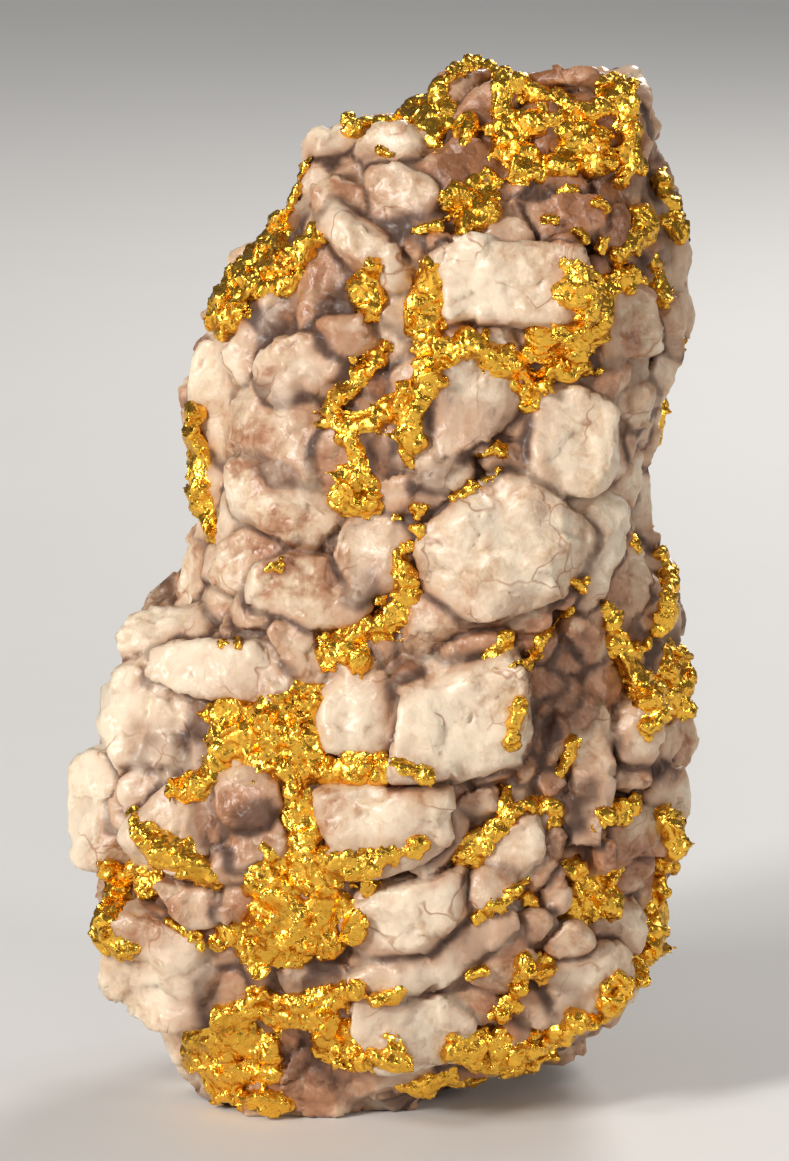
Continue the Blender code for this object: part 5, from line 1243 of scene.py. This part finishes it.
class Shader:
    """A node material with a Principled shader, built a node at a time."""

    def __init__(self, name):
        self.material = bpy.data.materials.new(name)
        self.material.use_nodes = True
        self.tree = self.material.node_tree
        self.shader = self.tree.nodes["Principled BSDF"]
        place = self.node("ShaderNodeTexCoord")
        scale = self.node("ShaderNodeMapping")
        scale.inputs["Scale"].default_value = (1 / MM, 1 / MM, 1 / MM)
        self.link(place.outputs["Object"], scale.inputs["Vector"])
        self.place = scale.outputs["Vector"]

    def node(self, kind, **settings):
        made = self.tree.nodes.new(kind)
        for key, value in settings.items():
            setattr(made, key, value)
        return made

    def link(self, source, target):
        self.tree.links.new(source, target)

    def put(self, value, socket):
        """Feed a socket from another socket or from a plain value."""
        if isinstance(value, bpy.types.NodeSocket):
            self.link(value, socket)
        else:
            socket.default_value = value

    def noise(self, size, detail=3.0, roughness=0.55, distortion=0.0, place=None):
        """Noise of a size in millimetres, around 0.5."""
        made = self.node("ShaderNodeTexNoise")
        self.link(place or self.place, made.inputs["Vector"])
        made.inputs["Scale"].default_value = 1 / size
        made.inputs["Detail"].default_value = detail
        made.inputs["Roughness"].default_value = roughness
        made.inputs["Distortion"].default_value = distortion
        return made.outputs["Fac"]

    def cells(self, size, feature="F1", place=None):
        """The node that divides space into irregular cells."""
        made = self.node("ShaderNodeTexVoronoi", feature=feature)
        self.link(place or self.place, made.inputs["Vector"])
        made.inputs["Scale"].default_value = 1 / size
        return made

    def vector(self, operation, a, b, output="Vector"):
        made = self.node("ShaderNodeVectorMath", operation=operation)
        self.put(a, made.inputs[0])
        self.put(b, made.inputs[1])
        return made.outputs[output]

    def warped(self, size, amount):
        """The place shifted by noise."""
        shift = self.node("ShaderNodeTexNoise")
        self.link(self.place, shift.inputs["Vector"])
        shift.inputs["Scale"].default_value = 1 / size
        centred = self.vector("SUBTRACT", shift.outputs["Color"], (0.5, 0.5, 0.5))
        return self.vector("ADD", self.place, self.vector("MULTIPLY", centred, (amount, amount, amount)))

    def stretched(self, scale, place):
        made = self.node("ShaderNodeMapping")
        self.link(place, made.inputs["Vector"])
        made.inputs["Scale"].default_value = scale
        return made.outputs["Vector"]

    def attribute(self, name):
        return self.node("ShaderNodeAttribute", attribute_name=name).outputs["Fac"]

    def math(self, operation, a, b=0.0):
        made = self.node("ShaderNodeMath", operation=operation)
        self.put(a, made.inputs[0])
        self.put(b, made.inputs[1])
        return made.outputs["Value"]

    def times(self, a, b):
        return self.math("MULTIPLY", a, b)

    def plus(self, a, b):
        return self.math("ADD", a, b)

    def minus(self, a, b):
        return self.math("SUBTRACT", a, b)

    def span(self, value, low, high, to_low=0.0, to_high=1.0):
        """Map a range onto another, smoothly and clamped."""
        made = self.node("ShaderNodeMapRange", interpolation_type="SMOOTHSTEP")
        self.put(value, made.inputs["Value"])
        for key, number in (("From Min", low), ("From Max", high), ("To Min", to_low), ("To Max", to_high)):
            made.inputs[key].default_value = number
        return made.outputs["Result"]

    def ramp(self, value, stops):
        """A colour along stops of (position, colour)."""
        made = self.node("ShaderNodeValToRGB")
        self.put(value, made.inputs["Fac"])
        band = made.color_ramp
        while len(band.elements) < len(stops):
            band.elements.new(0.5)
        for element, (position, colour) in zip(band.elements, stops):
            element.position = position
            element.color = (*colour, 1.0)
        return made.outputs["Color"]

    def mix(self, share, a, b):
        """Colour a with a share of colour b."""
        made = self.node("ShaderNodeMix", data_type="RGBA")
        self.put(share, made.inputs["Factor"])
        for value, socket in ((a, made.inputs["A"]), (b, made.inputs["B"])):
            self.put((*value, 1.0) if isinstance(value, tuple) else value, socket)
        return made.outputs["Result"]

    def chips(self, size, place):
        """Height of small flat chips: each cell is a plane with a slope of its own."""
        cells = self.cells(size, place=place)
        apart = self.vector("SUBTRACT", place, cells.outputs["Position"])
        slope = self.vector("SUBTRACT", cells.outputs["Color"], (0.5, 0.5, 0.5))
        return self.vector("DOT_PRODUCT", apart, slope, "Value")

    def bump(self, height, distance, strength, before=None):
        """A normal bent by a height, on top of an earlier one."""
        made = self.node("ShaderNodeBump")
        self.link(height, made.inputs["Height"])
        made.inputs["Distance"].default_value = distance * MM
        made.inputs["Strength"].default_value = strength
        if before is not None:
            self.link(before, made.inputs["Normal"])
        return made.outputs["Normal"]

    def set(self, **values):
        """Feed the shader's inputs: base_color for "Base Color", and so on."""
        for key, value in values.items():
            self.put(value, self.shader.inputs[key.replace("_", " ").title().replace("Ior", "IOR")])


# Places on the face where iron has stained the quartz: u, v, radius, amount. Where the amount is below
# 0 the quartz is whiter than elsewhere.
STAINS = [
    (14.5, 106.0, 6.0, 0.9), (18.5, 99.0, 5.0, 0.8), (8.0, 98.5, 4.0, 1.0), (20.0, 91.5, 6.5, 1.0),
    (-8.0, 84.5, 5.0, 0.5), (-15.0, 70.0, 4.0, 0.7), (-9.0, 58.5, 8.0, 0.5), (3.5, 47.5, 3.5, 0.5),
    (17.5, 45.0, 8.0, 0.6), (-15.5, 31.0, 5.5, 0.5), (-24.0, 21.5, 3.5, 0.8), (-11.0, 3.5, 7.0, 0.7),
    (25.0, 27.0, 4.0, 0.6), (11.0, 13.0, 4.5, 0.5), (8.5, 58.0, 7.0, 0.22),
    (-24.5, 41.0, 6.0, -0.4), (4.5, 42.5, 5.0, -0.4), (10.0, 86.0, 5.5, -0.3),
]
WHITE = (0.87, 0.73, 0.56)
CREAM = (0.70, 0.52, 0.355)
ROSE = (0.47, 0.235, 0.13)
# dark brown of heavy stain, and also the colour of the painted shade in the quartz's hollows
DARK_STAIN_AND_SHADE = (0.24, 0.092, 0.038)
BROWN = (0.06, 0.024, 0.012)
RUST = (0.36, 0.15, 0.06)
GOLD_BRIGHT = (1.0, 0.56, 0.07)
# deeper gold of random patches, and of the painted shade in the gold's hollows
GOLD_DEEP = (0.82, 0.43, 0.045)


def clouded(s, clouds, specks):
    """The colour of clean and stained quartz."""
    white = s.plus(s.plus(clouds, specks), s.times(s.attribute("tone"), 0.17))
    white = s.minus(s.plus(white, 0.60), s.times(s.attribute("stain"), 0.62))
    return s.ramp(white, [(0.02, DARK_STAIN_AND_SHADE), (0.26, ROSE), (0.50, CREAM), (0.78, WHITE)])


def seamed(s, base, patches):
    """Rose stain along the seams between blocks, painted shade and brown stain in the hollows, patchily."""
    seam = s.times(s.span(s.attribute("between"), 0.1, 2.2, 1.0, 0.0), s.span(patches, 0.0, 1.0, 0.4, 1.0))
    base = s.mix(s.times(seam, 0.85), base, ROSE)
    # painted shade: the quartz darkens in its hollows, partly the brown stain of the creases
    deep = s.times(s.span(s.attribute("hollow"), 0.36, 1.0), s.span(patches, 0.0, 1.0, 0.35, 0.9))
    return s.mix(deep, base, DARK_STAIN_AND_SHADE)


def rusted(s, base, specks):
    """Rust round the gold and in fine fracture lines."""
    by_gold = s.times(s.attribute("by_gold"), s.span(specks, -0.2, 0.15))
    base = s.mix(s.times(by_gold, 0.6), base, RUST)
    fracture = s.cells(7.5, "DISTANCE_TO_EDGE", s.warped(5.0, 7.0)).outputs["Distance"]
    vein = s.times(s.span(fracture, 0.0, 0.03, 1.0, 0.0), s.span(s.noise(6.0, 1.0), 0.48, 0.64))
    return s.mix(s.times(vein, 0.75), base, RUST)


def shattered(s, base, clouds, shard):
    """Dark gaps between the shards of stained quartz."""
    broken = s.span(s.plus(s.attribute("stain"), s.times(clouds, 0.25)), 0.35, 0.8)
    gap = s.span(s.cells(2.6, "DISTANCE_TO_EDGE", shard).outputs["Distance"], 0.0, 0.05, 1.0, 0.0)
    return s.mix(s.times(s.times(gap, broken), 0.5), base, DARK_STAIN_AND_SHADE)


def quartz_material():
    """Milky quartz with seams, cracks and iron stains."""
    s = Shader("quartz")
    wavy = s.warped(3.5, 2.6)
    clouds = s.times(s.minus(s.noise(5.0, 3.0, 0.6, place=wavy), 0.5), 1.45)
    specks = s.times(s.minus(s.noise(1.3, 4.0, 0.68, place=wavy), 0.5), 0.9)
    patches = s.span(s.noise(6.5, 2.0), 0.36, 0.60)
    near_crack = s.span(s.attribute("between"), 0.15, 0.75, 1.0, 0.0)
    open_crack = s.times(near_crack, s.span(patches, 0.0, 1.0, 0.45, 0.95))
    shard = s.stretched((1.2, 1.2, 0.72), s.warped(2.2, 1.9))
    base = rusted(s, seamed(s, clouded(s, clouds, specks), patches), specks)
    base = shattered(s, s.mix(open_crack, base, BROWN), clouds, shard)
    rougher = s.span(s.attribute("stain"), 0.0, 0.6, 0.3, 1.0)
    normal = s.bump(s.times(s.chips(2.6, shard), rougher), 0.75, 0.9)
    normal = s.bump(s.noise(1.6, 4.0, 0.60, 0.4), 0.20, 0.9, normal)
    rough = s.plus(s.span(specks, -0.3, 0.3, 0.28, 0.48), s.times(open_crack, 0.3))
    s.set(base_color=base, roughness=rough, normal=normal)
    s.set(ior=1.54, subsurface_weight=0.30, subsurface_radius=(1.0, 0.62, 0.38), subsurface_scale=2.0 * MM)
    s.set(coat_weight=0.10, coat_roughness=0.20)
    return s.material


def gold_material():
    """Native gold: bright, with painted shade deeper in the hollows and random deeper patches, creased and
    finely chipped.
    """
    s = Shader("gold")
    varied = s.times(s.minus(s.noise(1.6, 3.0), 0.4), 0.8)
    # painted shade: the gold deepens in its hollows, on top of random deeper patches
    shade = s.plus(s.span(s.attribute("hollow"), 0.25, 1.0), varied)
    base = s.mix(s.span(shade, 0.0, 0.9), GOLD_BRIGHT, GOLD_DEEP)
    wavy = s.warped(0.9, 0.7)
    creases = s.math("ABSOLUTE", s.minus(s.noise(2.3, 1.5, 0.45, 0.8), 0.5))
    normal = s.bump(s.chips(1.8, wavy), 0.55, 1.0)
    normal = s.bump(creases, 0.60, 1.0, normal)
    normal = s.bump(s.chips(0.5, wavy), 0.05, 0.8, normal)
    rough = s.span(s.noise(0.8, 3.0), 0.3, 0.7, 0.20, 0.33)
    s.set(base_color=base, metallic=1.0, roughness=rough, normal=normal)
    return s.material


def floor_material():
    s = Shader("pale_floor")
    s.set(base_color=s.mix(s.noise(40.0), (0.74, 0.74, 0.74), (0.77, 0.77, 0.77)), roughness=0.6)
    return s.material


# ---- studio ----

TARGET = Vector((0.0, 0.0, 53.9)) * MM   # what the camera and the lamps point at
# From here on lengths are in metres.
CAMERA_AWAY = 0.8
PICTURE_HEIGHT = 0.1219        # what the picture's height shows at the specimen
SENSOR = 36.0                  # in millimetres, as the camera has it
FLOOR_HALF = 8.0
WORLD_COLOUR, WORLD_STRENGTH = (0.90, 0.89, 0.88, 1.0), 0.13
# Soft suns: name, the side they shine from, breadth in degrees, strength, colour.
SUNS = (
    ("sun", (-0.78, -0.62, 0.95), 16.0, 0.72, (1.0, 0.97, 0.93)),
    ("sun_behind", (0.60, 0.75, 0.90), 30.0, 0.42, (1.0, 0.97, 0.93)),
)
# Round lamps: name, place, size, watts, colour.
LAMPS = (
    ("key", (-0.50, -0.50, 0.36), 0.16, 4.2, (1.0, 0.96, 0.91)),
    ("side", (0.52, -0.36, 0.24), 0.14, 0.75, (1.0, 0.95, 0.89)),
    ("back", (0.20, 0.55, 0.40), 0.20, 1.8, (1.0, 0.96, 0.91)),
    ("front", (0.06, -0.66, 0.30), 0.14, 0.25, (1.0, 0.96, 0.91)),
)


def aim(thing, way):
    """Turn a camera or a light so that it looks along way."""
    thing.rotation_euler = way.to_track_quat("-Z", "Y").to_euler()


def make_camera():
    """A long lens that looks square onto the elevation drawing."""
    data = bpy.data.cameras.new("camera")
    data.sensor_width = SENSOR
    data.lens = SENSOR * CAMERA_AWAY / PICTURE_HEIGHT
    data.clip_start, data.clip_end = 0.01, 50.0
    camera = placed("camera", data)
    camera.location = TARGET + VIEWER * CAMERA_AWAY
    aim(camera, -VIEWER)
    bpy.context.scene.camera = camera


def add_light(name, kind, strength, colour):
    data = bpy.data.lights.new(name, kind)
    data.energy = strength
    data.color = colour
    return placed(name, data)


def add_lights():
    for name, side, breadth, strength, colour in SUNS:
        sun = add_light(name, "SUN", strength, colour)
        sun.data.angle = math.radians(breadth)
        aim(sun, -Vector(side))
    for name, place, size, watts, colour in LAMPS:
        lamp = add_light(name, "AREA", watts, colour)
        lamp.data.shape = "DISK"
        lamp.data.size = size
        lamp.location = place
        aim(lamp, TARGET - Vector(place))


def add_floor():
    """A wide plain floor under the specimen."""
    mesh = bpy.data.meshes.new("floor")
    corners = [(x * FLOOR_HALF, y * FLOOR_HALF, 0) for x, y in ((-1, -1), (1, -1), (1, 1), (-1, 1))]
    mesh.from_pydata(corners, [], [(0, 1, 2, 3)])
    mesh.materials.append(floor_material())
    floor = placed("floor", mesh)


def make_studio():
    world = bpy.data.worlds.new("studio")
    world.use_nodes = True
    background = world.node_tree.nodes["Background"]
    background.inputs["Color"].default_value = WORLD_COLOUR
    background.inputs["Strength"].default_value = WORLD_STRENGTH
    bpy.context.scene.world = world
    bpy.context.scene.view_settings.view_transform = "Standard"
    add_lights()
    add_floor()


# ---- the specimen ----

def add_gold(masses, gold_look):
    """Every mass of gold that has a solid, as a piece; masses are (name of the solid, Gold)."""
    for index, (name, mass) in enumerate(masses):
        points, quads, hollow = gold_shape(mass, SEED * 300 + index)
        piece = mesh_object(name.replace("gold_", "") + "_gold", points, quads, {"hollow": hollow})
        piece.data.materials.append(gold_look)
        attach(piece, "root")
        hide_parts(name)


def add_veinlets(quartz, gold_look):
    """The gold that stands for no solid, in one piece."""
    points, quads, hollows = [], [], []
    for index, strokes in enumerate(VEINLETS):
        mass = Gold(quartz, strokes, 0.0, SEED * 200 + index)
        places, faces, hollow = gold_shape(mass, SEED * 400 + index)
        quads.append(faces + sum(len(done) for done in points))
        points.append(places)
        hollows.append(hollow)
    piece = mesh_object("fine_gold", np.concatenate(points), np.concatenate(quads),
                        {"hollow": np.concatenate(hollows)})
    piece.data.materials.append(gold_look)
    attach(piece, "root")


def quartz_notes(quartz, masses, points):
    """What the quartz's material knows of each point."""
    near = quartz.grid.sample(distance_from_gold(quartz, masses), points)
    between = quartz.grid.sample(quartz.second - quartz.first, points)
    cells = np.round((points - quartz.grid.low) / QUARTZ_CELL).astype(int)
    owner = quartz.owner[tuple(np.clip(cells, 0, np.array(quartz.grid.shape) - 1).T)]
    return {
        "hollow": hollowness(quartz.grid, quartz.field, points, QUARTZ_HOLLOW_REACH),
        "by_gold": np.exp(-np.clip(near, 0, None) / GOLD_STAIN_REACH),
        "between": np.clip(between, 0, SEAM_FAR),
        "tone": quartz.tones[owner],
        "stain": staining(points),
    }


def add_quartz(quartz, masses):
    """The quartz, as one piece."""
    points, quads = quartz_shape(quartz)
    piece = mesh_object("quartz_matrix", points, quads, {})
    thinned(piece, QUARTZ_FACETS)
    give_attributes(piece.data, quartz_notes(quartz, masses, points_of(piece.data)))
    piece.data.materials.append(quartz_material())
    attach(piece, "root")
    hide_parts("quartz")


def main():
    quartz = Quartz()
    jobs = [(name, strokes, 0.0) for name, strokes in GOLD.items()]
    jobs += [(name, strokes, turn) for name, (turn, strokes) in TURNED_GOLD.items()]
    masses = [(name, Gold(quartz, strokes, turn, SEED * 100 + index))
              for index, (name, strokes, turn) in enumerate(jobs)]
    gold_look = gold_material()
    add_gold(masses, gold_look)
    add_veinlets(quartz, gold_look)
    add_quartz(quartz, [mass for _, mass in masses])


main()
make_camera()
make_studio()
